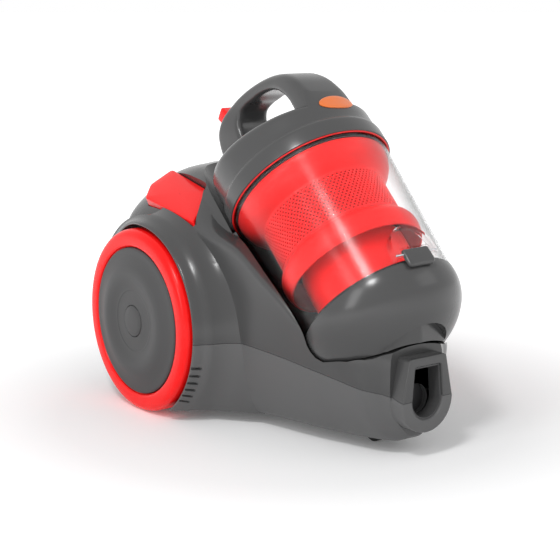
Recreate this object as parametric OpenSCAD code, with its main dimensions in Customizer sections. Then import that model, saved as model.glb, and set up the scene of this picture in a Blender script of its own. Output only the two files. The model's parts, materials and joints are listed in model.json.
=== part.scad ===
// Canister vacuum cleaner: bagless, with a tilted clear dust bin, two large
// rear wheels and a front swivel caster.  Millimetres, +Z up, front towards -Y.
// Origin: on the floor, under the middle of the whole machine.

/* [Body] */
// half width of the body shell beside the wheels
body_half_w = 105; // [103:1:106]
// plastic wall of the body shells
wall = 2.6; // [2.2:0.2:3]
// ground clearance under the chassis floor
floor_z = 12; // [11:1:13]
// half width of the hose inlet block at the seam
nose_half_w = 32.5; // [32:0.5:34]
// radius of the rounded hose inlet mouth
mouth_r = 19.5; // [19:0.5:20]

/* [Wheels] */
// outer radius of the rear tyre
tyre_r = 99.3; // [98:0.5:100]
// radius of the hard wheel disc inside the tyre
hub_r = 80; // [76:1:82]
// steel wheel axle radius
axle_r = 5; // [4:0.5:6]
// front caster wheel radius
caster_r = 10; // [9:0.5:10.5]
// front caster wheel width
caster_w = 14; // [10:1:15]

/* [Bin] */
// clear bin outer radius at the lid
bin_top_r = 88.6; // [88:0.2:89]
// clear bin outer radius at the base cap
bin_base_r = 82.3; // [81:0.2:83]
// length of the visible clear bin
bin_len = 157; // [155:1:158]
// clear bin wall
bin_wall = 2.2; // [1.8:0.2:2.8]
// lid collar outer radius
collar_r = 92.3; // [92:0.1:92.6]
// perforated shroud radius at its upper end
screen_r = 70; // [66:1:72]
// inner dust cone radius
cone_r = 56.6; // [52:0.5:58]
// perforation hole radius
hole_r = 3; // [2:0.5:3.5]

/* [Handle] */
// half width of the carry handle grip
grip_half_w = 20; // [18:0.5:21]
// half width of the handle front leg
leg_half_w = 27; // [25:0.5:28]
// release button half width
button_half_w = 15; // [13:0.5:16]

/* [Pedals] */
// pedal length along the machine
pedal_len = 95; // [92:1:97]
// pedal width across its slope
pedal_w = 53; // [50:1:54]
// pedal top thickness
pedal_t = 3; // [2.5:0.25:3.5]

/* [Inside] */
// motor can radius
motor_r = 38; // [36:1:39]
// motor chamber outer radius
chamber_r = 50; // [48:1:51]
// cord reel flange radius
reel_r = 76; // [70:1:78]
// dirty air duct outer radius
duct_r = 15; // [14:0.5:15]

/* [Hidden] */

$fn = 72;
eps = 0.01;
gap = 0.4;
slab = 0.2;

// colours
dark = [0.30, 0.30, 0.31];
mid = [0.42, 0.42, 0.43];
red = [0.95, 0.10, 0.10];
clear = [0.85, 0.86, 0.88, 0.35];
black = [0.08, 0.08, 0.09];
steel = [0.72, 0.73, 0.75];
white = [0.92, 0.92, 0.90];
green = [0.10, 0.42, 0.25];

// ---- shared frames -------------------------------------------------------
nose_y = -217;
rear_y = 220.4;
wheel_y = 97.2;
wheel_z = tyre_r;
bin_y = -31.9;
bin_z = 246.8;
bin_tilt = 45.86;

// the bin frame: z runs up the bin axis, y points down and back to the cradle
module in_bin() {
    translate([0, bin_y, bin_z])
        rotate([-bin_tilt, 0, 0])
            children();
}

module x_cyl(x0, x1, r, y, z) {
    translate([x0, y, z])
        rotate([0, 90, 0])
            cylinder(h = x1 - x0, r = r);
}

module y_cyl(y0, y1, r, x, z) {
    translate([x, y0, z])
        rotate([-90, 0, 0])
            cylinder(h = y1 - y0, r = r);
}

// extrude a (y, z) outline across x, centred
module across_x(width) {
    rotate([90, 0, 90])
        translate([0, 0, -width / 2])
            linear_extrude(width)
                children();
}

// extrude an (x, z) outline along y
module along_y(y0, y1) {
    translate([0, y1, 0])
        rotate([90, 0, 0])
            linear_extrude(y1 - y0)
                children();
}

// straight round leg of a duct between two points
module leg(a, b, r) {
    d = b - a;
    len = norm(d);
    translate(a)
        rotate([0, acos(d[2] / len), atan2(d[1], d[0])])
            cylinder(h = len, r = r);
}

module duct_path(p, r) {
    for (i = [0 : len(p) - 2])
        leg(p[i], p[i + 1], r);
    for (i = [1 : len(p) - 2])
        translate(p[i])
            sphere(r = r + 0.3);
}

function arc(cx, cy, r, a0, a1, n) =
    [for (i = [0 : n]) let (a = a0 + (a1 - a0) * i / n)
        [cx + r * cos(a), cy + r * sin(a)]];

// ---- body shell ----------------------------------------------------------
seam = [[-222, 60], [-208, 62.4], [-197, 64.8], [-186, 69], [-158, 76], [-123, 82], [-83, 88],
        [-44, 92], [0, 91], [47, 83], [100, 80], [230, 80]];
deck_z = 261;
bin_r = bin_top_r + 2.4;
lid_recess_r = collar_r + 2.7;

plan_low = [[-197, 24], [-188, 34], [-160, 54], [-112, 69], [-58, 82]];
plan_high = [[-198, 36], [-188, 50], [-158, 71], [-128, 82], [-58, 90]];
plan_rear = [[0, 98], [45, body_half_w], [188, body_half_w],
             [206, 98], [215, 84], [rear_y, 62]];

// outline seen from above, from [y, half width] points of its right half
module mirrored(half) {
    n = len(half);
    polygon([for (i = [0 : 2 * n - 1])
        let (p = half[i < n ? i : 2 * n - 1 - i])
            [i < n ? p[1] : -p[1], p[0]]]);
}

module body_plan(front) {
    mirrored(concat(front, plan_rear));
}

module body_side() {
    polygon([[-199, floor_z], [-199, 113], [-168, 113], [-125, 126], [-96, 147],
             [-60, 171], [-29, 191], [6, 202], [18, 214], [42, 238],
             [62, 254], [97, 261], [124, 260], [157, 254], [182, 244],
             [201, 227], [213, 204], [rear_y, 170], [rear_y, 80],
             [213, 42], [194, floor_z]]);
}

module body_slab(z, front, inset, t) {
    translate([0, 0, z])
        linear_extrude(slab)
            offset(delta = -inset - t)
                body_plan(front);
}

// rounded solid outline of the whole body, shrunk by t
module body_hull(t) {
    hull() {
        body_slab(floor_z + t, plan_low, 20, t);
        body_slab(floor_z + 4 + t, plan_low, 9, t);
        body_slab(floor_z + 20, plan_low, 0, t);
        body_slab(140, plan_high, 0, t);
        body_slab(196 - t, plan_high, 4, t);
    }
}

// raised rear deck, narrowing upwards: rows of [height, outline]
deck_rows = [[150, [[-20, 100], [0, 102], [186, 104], [206, 95], [rear_y, 60]]],
             [196, [[-14, 96], [10, 100], [176, 101], [200, 84], [215, 56]]],
             [211, [[2, 92], [40, 101], [146, 101], [172, 92], [198, 68], [210, 42]]],
             [237, [[38, 64], [66, 74], [150, 70], [178, 54], [192, 28]]],
             [deck_z, [[60, 40], [100, 40], [160, 36]]]];

module deck_hull(t) {
    hull()
        for (row = deck_rows)
            translate([0, 0, row[0] - t])
                linear_extrude(slab)
                    offset(delta = -t)
                        mirrored(row[1]);
}

module body_outer(t) {
    intersection() {
        union() {
            body_hull(t);
            deck_hull(t);
        }
        across_x(260)
            offset(delta = -t)
                body_side();
    }
}

module above_seam(up) {
    across_x(300)
        polygon(up ? concat(seam, [[230, 300], [-222, 300]])
                   : concat(seam, [[230, -20], [-222, -20]]));
}

// hose inlet block: flat topped above the seam, half round below
block_top = 102.7;
block_top_half = 23.4;
mouth_z = 59.5;
block_back = -186;

module block_solid(t) {
    along_y(nose_y, block_back) {
        translate([0, mouth_z])
            circle(r = nose_half_w - t);
        polygon([[-nose_half_w + t, mouth_z], [nose_half_w - t, mouth_z],
                 [block_top_half - t, block_top - t], [t - block_top_half, block_top - t]]);
    }
}

module block_deck() {
    across_x(2 * block_top_half)
        polygon([[nose_y, block_top - 2], [nose_y, block_top], [-203, 110],
                 [-186, 113], [-183, 113], [-183, block_top - 2]]);
}

module mouth_cut(r, y1) {
    along_y(nose_y - 1, y1) {
        translate([0, mouth_z])
            circle(r = r);
        polygon([[-r, mouth_z], [r, mouth_z],
                 [r - 2.8, 94], [2.8 - r, 94]]);
    }
}

mouth_end = -194.4;
cap_gap = 2.6;

// outline of the base cap: radius as a share of the bin's, depth below its rim
cap_shape = [[1.006, 3], [1.0085, 8], [0.9964, 14], [0.9733, 21], [0.9295, 29],
             [0.853, 37], [0.7716, 44], [0.6416, 51.5], [0.4933, 57],
             [0.3159, 60.5], [0.1458, 62]];
cap_depth = 62.5;
cap_profile = [for (p = cap_shape) [p[0] * bin_base_r, -bin_len - p[1]]];

// the seat that the bin, its lid and its base cap drop into, grown by g
module seat(g) {
    bowl = [for (i = [len(cap_profile) - 1 : -1 : 1])
        let (p = cap_profile[i])
            p + (cap_gap + g) * [p[0] / cap_profile[0][0], p[0] > 0.73 * bin_base_r ? -0.5 : -1]];
    in_bin()
        rotate_extrude($fn = 120)
            polygon(concat([[0, cap_profile[len(cap_profile) - 1][1] - cap_gap - g - 0.5]], bowl,
                [[bin_base_r + 3.4 + g, -bin_len - 3], [bin_r + g, -9 - g],
                 [lid_recess_r + g, -9 - g], [lid_recess_r + g, 138], [0, 138]]));
}

notch_y = -205.3;
arch_r = 124;
arch_top = 119.5;

// frame of one wheel axle: z runs outwards along the axle
module on_axle(s) {
    translate([0, wheel_y, wheel_z])
        rotate([0, s * 90, 0])
            children();
}

module fender(side, r, x0, x1) {
    x_cyl(side > 0 ? x0 : -x1, side > 0 ? x1 : -x0, r, wheel_y, wheel_z);
}

fender_r = 112.5;
well_r = 103.3;
well_x = 104;
fender_x = 120;
lip_x = 133;
lip_wall = 2.8;
vent_x = 125.5;
vent_len = 16;
vent_w = 2.6;

// rim around the wheel opening, flowing into the flank in a hollow curve
module fender_ring(side) {
    flare = [[130, 90], [122, 97], [116.5, 105], [113.4, 113], [fender_r, fender_x]];
    intersection() {
        difference() {
            union() {
                on_axle(side)
                    rotate_extrude($fn = 120)
                        polygon([[fender_r, 92], [fender_r, fender_x],
                                 [well_r, fender_x], [well_r, 92]]);
                intersection() {
                    on_axle(side)
                        rotate_extrude($fn = 120)
                            polygon(concat(flare, [[well_r, fender_x], [well_r, 90]]));
                    translate([-130, -100, 34])
                        cube([260, 100 + wheel_y, 200]);
                }
            }
            on_axle(side)
                rotate_extrude($fn = 120)
                    polygon(concat([for (p = flare) p - [wall, wall]],
                                   [[well_r + wall, fender_x - wall], [well_r + wall, 85],
                                    [130 - wall, 85]]));
        }
        across_x(260)
            body_side();
    }
}

// front of the rim, which stands out over the tread nearly as far as the tyre's shoulder
// and fades out behind the top of the wheel
module fender_lip(side) {
    intersection() {
        on_axle(side)
            rotate_extrude($fn = 120)
                polygon([[well_r, fender_x - wall], [well_r, lip_x], [well_r + lip_wall, lip_x],
                         [well_r + lip_wall + 2, lip_x - 5], [fender_r, fender_x - wall]]);
        linear_extrude(height = 230)
            polygon([[side * 84, -100], [side * lip_x, -100], [side * lip_x, wheel_y],
                     [side * fender_x, wheel_y + 72], [side * 84, wheel_y + 72]]);
        across_x(280)
            body_side();
    }
}

module wells(grow) {
    for (s = [-1, 1])
        fender(s, well_r + grow, well_x - grow, 160);
}

module axle_bosses() {
    for (s = [-1, 1])
        x_cyl(s > 0 ? 84 : -well_x - 1, s > 0 ? well_x + 1 : -84, axle_r + 6, wheel_y, wheel_z);
}

module axle_holes() {
    x_cyl(-130, 130, axle_r, wheel_y, wheel_z);
}

// ---- lower chassis -------------------------------------------------------
caster_y = -150;
caster_z = caster_r;
trail = 8;
caster_well_r = 24;
caster_roof = 25.5;
grille_x0 = -56;
grille_x1 = 24;
grille_z0 = 82;
grille_z1 = 154;
gland_x = 43;
gland_z = 104;
stem_r = 4;
post_r = 8;
duct_z = 57;

screw_at = [[-52, -28], [52, -28], [-85.6, 170], [85.6, 170]];
post_top = 80;
motor_x = -30;
motor_z = 100;

// screw posts, ribs under the motor chamber and the inner reel bracket
module chassis_inside() {
    for (p = screw_at)
        translate([p[0], p[1], floor_z + 1])
            cylinder(h = post_top - floor_z - 1, r = 5);
    difference() {
        for (y = [78, 150])
            translate([motor_x - 32, y, floor_z + 1])
                cube([64, 4, 60]);
        y_cyl(60, 190, chamber_r, motor_x, motor_z);
    }
    translate([21, wheel_y - 14, floor_z + 1])
        cube([4, 28, 100]);
    translate([0, caster_y, floor_z + 1])
        cylinder(h = caster_roof + wall - floor_z - 1, r = caster_well_r + wall);
    translate([0, caster_y, caster_roof])
        cylinder(h = 16, r = 7.5);
}

module shell_half(up) {
    difference() {
        intersection() {
            union() {
                body_outer(0);
                fender_ring(1);
                fender_ring(-1);
                fender_lip(1);
                fender_lip(-1);
                block_solid(0);
                if (up)
                    block_deck();
            }
            above_seam(up);
        }
        difference() {
            body_outer(wall);
            wells(wall);
        }
    }
}

module lower_chassis() {
    color(mid)
    difference() {
        union() {
            shell_half(false);
            intersection() {
                chassis_inside();
                body_outer(1);
            }
        }
        wells(0);
        axle_holes();
        mouth_cut(mouth_r, mouth_end);
        y_cyl(-196, -178, duct_r + 0.2, 0, duct_z);
        duct_path([for (i = [1 : 3]) duct_points[i]], duct_r + 0.3);
        translate([0, caster_y, floor_z - 1])
            cylinder(h = caster_roof - floor_z + 1, r = caster_well_r);
        translate([0, caster_y, floor_z])
            cylinder(h = 28, r = stem_r + 0.05);
        x_cyl(20, 26, post_r, wheel_y, wheel_z);
        seat(wall + 0.2);
        for (p = screw_at)
            translate([p[0], p[1], floor_z - 1])
                cylinder(h = 70, r = 2);
        for (p = screw_at)
            translate([p[0], p[1], floor_z - 1])
                cylinder(h = 5, r = 4.2);
        for (s = [-1, 1], i = [0 : 5])
            translate([s * vent_x, wheel_y, wheel_z])
                rotate([18 + 5 * i, 0, 0])
                    translate([-vent_len / 2, -fender_r - 1, -vent_w / 2])
                        cube([vent_len, 9, vent_w]);
        translate([grille_x0, 190, grille_z0])
            cube([grille_x1 - grille_x0, 40, grille_z1 - grille_z0]);
        y_cyl(190, 230, 8, gland_x, gland_z);
    }
}

// ---- upper body ----------------------------------------------------------
pedal_tilt = 28;
pedal_rise = 6.5;
pedal_mid = [77, 101, 232];
pedal_skew = 6.4;
pedal_rake = 13.4;
tub_depth = 20;
pivot_y = -26;
pivot_z = -6;
pin_x = [-23, 30];
pin_r = 2;

// pedal frame: x across the slope (outwards), y along the machine, z out
module in_pedal(s) {
    mirror([s < 0 ? 1 : 0, 0, 0])
        translate(pedal_mid)
            rotate([pedal_rise, pedal_tilt, 0])
                children();
}

// pedal outline seen square to its top: its outer edge lies further forward
module pedal_plan() {
    w = pedal_w / 2;
    l = pedal_len / 2;
    polygon([[-w - pedal_skew, pedal_rake + l], [-w + pedal_skew, pedal_rake - l],
             [w + pedal_skew, -pedal_rake - l], [w - pedal_skew, -pedal_rake + l]]);
}

module pedal_block(g) {
    translate([0, 0, -tub_depth - g])
        linear_extrude(60 + g)
            offset(delta = g)
                pedal_plan();
}

module pedal_pin(r) {
    translate([pin_x[0], pivot_y, pivot_z])
        rotate([0, 90, 0])
            cylinder(h = pin_x[1] - pin_x[0], r = r);
}

// two hanging lugs that hold the brake arm pivot
arm_x = 46;
arm_y = 112;
arm_z = 188;
arm_half = 4;

module arm_lugs() {
    for (x = [arm_x - arm_half - 2.9, arm_x + arm_half + 0.4])
        translate([x, arm_y - 5, arm_z - 5])
            cube([2.5, 10, 80]);
}

module seat_ports() {
    in_bin() {
        translate([0, 60, port_s])
            rotate([-90, 0, 0])
                cylinder(h = 50, r = duct_bore);
        translate([0, 60, air_s])
            rotate([-90, 0, 0])
                cylinder(h = 60, r = air_bore);
    }
}

port_s = -55;
air_s = 14;
duct_bore = duct_r - 2.2;
air_r = 15;
air_bore = air_r - 2;
hinge_v = bin_base_r + 1.7;
hinge_s = -bin_len - 6;

module hinge_bay(g) {
    in_bin()
        translate([-20 - g, 70, hinge_s - 7 - g])
            cube([40 + 2 * g, hinge_v + 4.6 + g - 70, 25 + 2 * g]);
}

// solid stock behind the seat, the pedal tubs and the bosses of the upper body
module upper_inside() {
    seat(wall);
    hinge_bay(wall);
    for (s = [-1, 1])
        in_pedal(s)
            pedal_block(gap + wall);
    arm_lugs();
    axle_bosses();
    for (p = screw_at)
        translate([p[0], p[1], post_top])
            cylinder(h = 140, r = 5);
}

module upper_body() {
    color(dark)
    difference() {
        union() {
            shell_half(true);
            intersection() {
                upper_inside();
                body_outer(1);
            }
        }
        difference() {
            seat(0);
            y_cyl(nose_y, -178, arch_r - 1.5, 0, arch_top - arch_r);
        }
        for (s = [-1, 1])
            in_pedal(s)
                pedal_block(gap);
        hinge_bay(0.6);
        wells(0);
        axle_holes();
        mouth_cut(mouth_r, mouth_end);
        y_cyl(-196, -170, duct_r + 0.2, 0, duct_z);
        seat_ports();
        for (p = screw_at)
            translate([p[0], p[1], post_top - 1])
                cylinder(h = 20, r = 1.5);
        translate([grille_x0, 190, grille_z0])
            cube([grille_x1 - grille_x0, 40, grille_z1 - grille_z0]);
        y_cyl(190, 230, 8, gland_x, gland_z);
        for (s = [-1, 1])
            in_pedal(s)
                pedal_pin(pin_r);
        in_pedal(-1)
            translate([0, switch_y, -tub_depth - 5])
                cylinder(h = 10, r = 2.5);
        in_pedal(1)
            translate([finger_x, finger_y - 2, -tub_depth - 2])
                cube([9, 13, 10], center = true);
        x_cyl(arm_x - 10, arm_x + 10, pin_r, arm_y, arm_z);
        in_bin()
            translate([-catch_half - 0.4, 90, catch_s - 3.5])
                cube([2 * catch_half + 0.8, 10, 7]);
    }
}

switch_y = 20;
finger_x = -10;
finger_y = 37;

// ---- hose inlet and ducts ------------------------------------------------
module inlet_collar() {
    color(black)
    difference() {
        mouth_lining(mouth_r, -199);
        y_cyl(-220, -190, mouth_r - 3, 0, mouth_z);
        along_y(-220, -190)
            translate([-5, mouth_z])
                square([10, 24]);
        y_cyl(-197, -190, duct_r + 0.2, 0, duct_z);
    }
}

module mouth_lining(r, y0) {
    intersection() {
        mouth_cut(r, -195);
        translate([-30, y0, 20])
            cube([60, 12, 90]);
    }
}

function bin_point(v, s) =
    [0, bin_y + s * sin(bin_tilt) + v * cos(bin_tilt),
     bin_z + s * cos(bin_tilt) - v * sin(bin_tilt)];

duct_points = [[0, -194, duct_z], [0, -176, 56], [38, -150, 36], [38, -72, 38],
               bin_point(134, port_s), bin_point(92.4, port_s)];

module inlet_duct() {
    color(black)
    difference() {
        duct_path(duct_points, duct_r);
        duct_path(concat([duct_points[0] - [0, 1, 0]],
                         [for (i = [1 : 4]) duct_points[i]],
                         [bin_point(88, port_s)]), duct_bore);
        seat(wall);
    }
}

// saddle shaped seals between the seat and the ports of the bin and lid
module port_ring(s, r_out, r_in) {
    intersection() {
        in_bin()
            difference() {
                translate([0, 70, s])
                    rotate([-90, 0, 0])
                        cylinder(h = 40, r = r_out);
                translate([0, 60, s])
                    rotate([-90, 0, 0])
                        cylinder(h = 60, r = r_in);
            }
        seat(0);
    }
}

module duct_seal() {
    color(black)
    difference() {
        port_ring(port_s, duct_r, duct_bore);
        in_bin()
            translate([0, 0, -bin_len])
                cylinder(h = bin_len, r1 = bin_base_r + gap, r2 = bin_top_r + gap, $fn = 240);
    }
}

module port_seal() {
    color(black)
    difference() {
        port_ring(air_s, air_r, air_bore);
        in_bin()
            translate([0, 0, -30])
                cylinder(h = 90, r = collar_r + gap, $fn = 240);
    }
}

chamber_y0 = 62;
chamber_y1 = 176;
air_points = [bin_point(97, air_s), [0, 66 - 24, 172], [motor_x, 42, 150],
              [motor_x, 42, motor_z], [motor_x, chamber_y0 + 0.01, motor_z]];

module motor_duct() {
    color(black)
    difference() {
        duct_path(air_points, air_r);
        duct_path(concat([bin_point(90, air_s)],
                         [for (i = [1 : 3]) air_points[i]],
                         [air_points[4] + [0, 1, 0]]), air_bore);
        seat(wall);
    }
}

// ---- motor group ---------------------------------------------------------
module motor_chamber() {
    color(mid)
    difference() {
        union() {
            y_cyl(chamber_y0, chamber_y1, chamber_r, motor_x, motor_z);
            for (y = [104, 150])
                translate([motor_x - 30, y, motor_z + chamber_r - 8])
                    cube([60, 3, 18]);
        }
        y_cyl(chamber_y0 + wall, chamber_y1 + 1, chamber_r - wall, motor_x, motor_z);
        y_cyl(chamber_y0 - 1, chamber_y0 + 9, air_bore, motor_x, motor_z);
    }
}

module chamber_cover() {
    color(mid)
    difference() {
        union() {
            y_cyl(chamber_y1, chamber_y1 + 3, chamber_r, motor_x, motor_z);
            y_cyl(chamber_y1 - 6, chamber_y1, chamber_r - wall, motor_x, motor_z);
        }
        y_cyl(chamber_y1 - 7, chamber_y1, chamber_r - wall - 3, motor_x, motor_z);
        for (a = [0 : 45 : 315])
            translate([motor_x, 0, motor_z])
                rotate([0, a, 0])
                    y_cyl(chamber_y1 - 1, chamber_y1 + 4, 7, 32, 0);
    }
}

fan_y0 = 72;
motor_y0 = 88;
motor_y1 = 158;
shaft_r = 3;

module motor_case() {
    color(steel)
    difference() {
        union() {
            y_cyl(fan_y0 - 2, motor_y0, motor_r + 4, motor_x, motor_z);
            y_cyl(motor_y0, motor_y1, motor_r, motor_x, motor_z);
            y_cyl(motor_y1, motor_y1 + 8, 14, motor_x, motor_z);
        }
        y_cyl(fan_y0, motor_y0 - 3, motor_r + 2.5, motor_x, motor_z);
        y_cyl(fan_y0 - 3, fan_y0 + 1, air_bore + 2, motor_x, motor_z);
        y_cyl(fan_y0, motor_y1 - 4, shaft_r + 0.05, motor_x, motor_z);
        for (a = [0 : 60 : 300])
            translate([motor_x, 0, motor_z])
                rotate([0, a, 0])
                    y_cyl(motor_y0 - 4, motor_y1 - 20, 4, motor_r - 9, 0);
    }
}

module motor_mounts() {
    color(black) {
        difference() {
            y_cyl(chamber_y0 + wall, fan_y0 - 2, 28, motor_x, motor_z);
            y_cyl(chamber_y0, fan_y0, air_bore + 2, motor_x, motor_z);
        }
        difference() {
            y_cyl(motor_y1, chamber_y1, 20, motor_x, motor_z);
            y_cyl(motor_y1 - 1, motor_y1 + 8, 14, motor_x, motor_z);
        }
    }
}

module fan_rotor() {
    color(steel) {
        y_cyl(fan_y0 + 1, motor_y1 - 5, shaft_r, motor_x, motor_z);
        y_cyl(motor_y0 - 7, motor_y0 - 5.5, motor_r - 1, motor_x, motor_z);
        y_cyl(fan_y0 + 2, motor_y0 - 6, 8, motor_x, motor_z);
        for (a = [0 : 40 : 320])
            translate([motor_x, 0, motor_z])
                rotate([0, a, 0])
                    translate([6, fan_y0 + 3, -0.8])
                        cube([motor_r - 8, motor_y0 - fan_y0 - 9, 1.6]);
    }
}

filter_y = 198;

module exhaust_filter() {
    x0 = grille_x0 + 3;
    x1 = grille_x1 - 3;
    z0 = grille_z0 + 3;
    h = grille_z1 - grille_z0 - 6;
    n = 11;
    pitch = (x1 - x0 - 8) / n;
    color(white) {
        difference() {
            translate([x0, filter_y, z0])
                cube([x1 - x0, rear_y - 2.5 - filter_y, h]);
            translate([x0 + 3, filter_y - 1, z0 + 3])
                cube([x1 - x0 - 6, 30, h - 6]);
        }
        translate([x0 + 2.5, filter_y - 187, z0 + 2])
            linear_extrude(h - 4)
                for (i = [0 : n - 1])
                    translate([i * pitch, 0])
                        polygon([[0, 189], [1.4, 189], [pitch / 2 + 1, 201.6],
                                 [pitch + 0.4, 189], [pitch + 1.2, 189.8],
                                 [pitch / 2 + 1.2, 203.4], [pitch / 2 - 0.2, 203.4]]);
    }
}

module exhaust_grille() {
    x0 = grille_x0 + gap;
    x1 = grille_x1 - gap;
    z0 = grille_z0 + gap;
    z1 = grille_z1 - gap;
    color(dark)
    difference() {
        translate([x0, 206, z0])
            cube([x1 - x0, rear_y - 206, z1 - z0]);
        translate([x0 + 2, 205, z0 + 2])
            cube([x1 - x0 - 4, rear_y - 207.5, z1 - z0 - 4]);
        for (i = [0 : 7])
            translate([x0 + 6, 210, z0 + 6 + i * 8])
                cube([x1 - x0 - 12, 14, 4]);
    }
}

// ---- cord reel -----------------------------------------------------------
reel_x0 = 27.5;
reel_x1 = 72;

module cord_drum() {
    color(white)
    difference() {
        union() {
            x_cyl(reel_x0, reel_x0 + 2.5, reel_r, wheel_y, wheel_z);
            x_cyl(reel_x1 - 2.5, reel_x1, reel_r, wheel_y, wheel_z);
            x_cyl(reel_x0, reel_x1, 36, wheel_y, wheel_z);
        }
        x_cyl(reel_x0 + 4, reel_x1 + 1, 33, wheel_y, wheel_z);
        x_cyl(reel_x0 - 1, reel_x0 + 5, post_r + 0.08, wheel_y, wheel_z);
        for (a = [30 : 60 : 330])
            translate([0, wheel_y, wheel_z])
                rotate([a, 0, 0])
                    x_cyl(reel_x0 - 1, reel_x1 + 1, 11, 55, 0);
    }
}

module rewind_spring_case() {
    color(mid)
    difference() {
        x_cyl(reel_x1 - 26, 83.9, 30, wheel_y, wheel_z);
        x_cyl(reel_x1 - 24, 81, 28, wheel_y, wheel_z);
        x_cyl(reel_x1 - 30, 90, post_r, wheel_y, wheel_z);
    }
}

module reel_post() {
    color(steel)
    x_cyl(21, 83.9, post_r, wheel_y, wheel_z);
}

roller_r = 6;
roller_y = 90;
roller_z = wheel_z + sqrt(pow(reel_r + roller_r + gap, 2) - pow(wheel_y - roller_y, 2));

module brake_arm() {
    color(mid) {
        difference() {
            translate([arm_x, 0, 0])
                across_x(2 * arm_half)
                    polygon([[roller_y - 3, roller_z - 3], [roller_y + 4, roller_z - 3],
                             [arm_y, arm_z - 4], [arm_y + 8, arm_z - 2], [150, 190],
                             [150, 194], [arm_y + 6, arm_z + 4], [arm_y - 3, arm_z + 5],
                             [roller_y - 3, roller_z + 3]]);
            x_cyl(arm_x - 8, arm_x + 8, pin_r + 0.05, arm_y, arm_z);
        }
        x_cyl(arm_x, arm_x + arm_half + 14, 2, roller_y, roller_z);
    }
}

module brake_roller() {
    color(black)
    difference() {
        x_cyl(arm_x + arm_half + 0.5, arm_x + arm_half + 13, roller_r, roller_y, roller_z);
        x_cyl(arm_x, arm_x + arm_half + 20, 2.05, roller_y, roller_z);
    }
}

// ---- switch, board, cord inlet -------------------------------------------
module switch_box() {
    color(black)
    in_pedal(-1)
        difference() {
            translate([-9, switch_y - 8, -tub_depth - gap - wall - 14])
                cube([18, 16, 14]);
            translate([0, switch_y, -tub_depth - 14])
                cylinder(h = 20, r = 2.1);
        }
}

module switch_plunger() {
    color(white)
    in_pedal(-1)
        translate([0, switch_y, -tub_depth - 9])
            cylinder(h = tub_depth + 9 - pedal_t + 0.8, r = 2);
}

module control_board() {
    z = motor_z + chamber_r + 10;
    color(green)
    translate([motor_x - 28, 102, z])
        cube([56, 52, 1.6]);
    color(black) {
        translate([motor_x - 20, 110, z + 1.6])
            cube([14, 10, 8]);
        translate([motor_x + 6, 114, z + 1.6])
            cylinder(h = 12, r = 5);
        translate([motor_x - 14, 134, z + 1.6])
            cube([20, 4, 12]);
    }
}

module cord_gland() {
    color(black)
    difference() {
        union() {
            y_cyl(rear_y - wall - 3, rear_y - 0.5, 8, gland_x, gland_z);
            y_cyl(rear_y - wall - 5, rear_y - wall - 0.01, 11, gland_x, gland_z);
        }
        y_cyl(rear_y - 20, rear_y + 1, 4, gland_x, gland_z);
    }
}

// ---- rear wheels ---------------------------------------------------------
hub_crown = 144;
hub_face = hub_crown - 4.8;
axle_end = 133;
tyre_w = 30;

module wheel_axles() {
    color(steel)
    for (s = [-1, 1])
        on_axle(s)
            translate([0, 0, 84])
                cylinder(h = axle_end - 84, r = axle_r);
}

module axle_clips() {
    color(steel)
    for (s = [-1, 1])
        on_axle(s)
            translate([0, 0, 130.6])
                difference() {
                    cylinder(h = 1.2, r = axle_r + 4);
                    translate([0, 0, -1])
                        cylinder(h = 3, r = axle_r);
                }
}

module hub(s) {
    color(dark)
    on_axle(s)
        rotate_extrude($fn = 120)
            polygon([[axle_r + 0.05, hub_crown - 36], [16, hub_crown - 36], [16, hub_crown - 16],
                     [30, hub_crown - 7.5], [52, hub_crown - 4], [hub_r - 4, hub_crown - 9],
                     [hub_r - 4, hub_crown - 32], [hub_r, hub_crown - 32],
                     [hub_r, hub_face - 0.8], [hub_r - 0.8, hub_face],
                     [56, hub_crown - 0.3], [52, hub_crown], [48, hub_crown - 0.4],
                     [36, hub_crown - 3], [33.5, hub_crown - 3.6], [17.3, hub_crown - 2.8],
                     [17.3, hub_crown - 6], [14, hub_crown - 6], [14, hub_crown - 14],
                     [axle_r + 0.05, hub_crown - 14]]);
}

module tyre(s) {
    shoulder = 9;
    color(red)
    on_axle(s)
        rotate_extrude($fn = 120)
            polygon(concat([[hub_r, hub_crown - 32], [tyre_r - 3, hub_crown - 32],
                            [tyre_r, hub_crown - 29]],
                arc(tyre_r - shoulder, hub_face - shoulder, shoulder, 0, 90, 8),
                [[hub_r + 1, hub_face], [hub_r, hub_face - 1]]));
}

module hub_cap(s) {
    color(dark)
    on_axle(s)
        rotate_extrude()
            polygon([[0, hub_crown - 4.6], [10, hub_crown - 4.6], [10, hub_crown - 10],
                     [12, hub_crown - 10], [12, hub_crown - 5.95], [17, hub_crown - 5.95],
                     [17, hub_crown - 2.8], [16, hub_crown - 2], [0, hub_crown - 1.6]]);
}

// ---- front caster --------------------------------------------------------
fork_top = caster_roof - gap;

module caster_fork() {
    color(black)
    difference() {
        union() {
            translate([0, caster_y, fork_top - 3])
                cylinder(h = 3, r = 18);
            translate([0, caster_y, fork_top - 1])
                cylinder(h = 14.5, r = stem_r);
            for (s = [-1, 1])
                translate([s * (caster_w / 2 + 2), 0, 0])
                    across_x(2.4)
                        polygon([[caster_y - 10, fork_top - 2], [caster_y + trail - 4, 6],
                                 [caster_y + trail + 4, 6], [caster_y + 14, fork_top - 2]]);
        }
        x_cyl(-20, 20, pin_r, caster_y + trail, caster_z);
    }
}

module caster_pin() {
    color(steel)
    x_cyl(-caster_w / 2 - 3.2, caster_w / 2 + 3.2, pin_r, caster_y + trail, caster_z);
}

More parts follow.
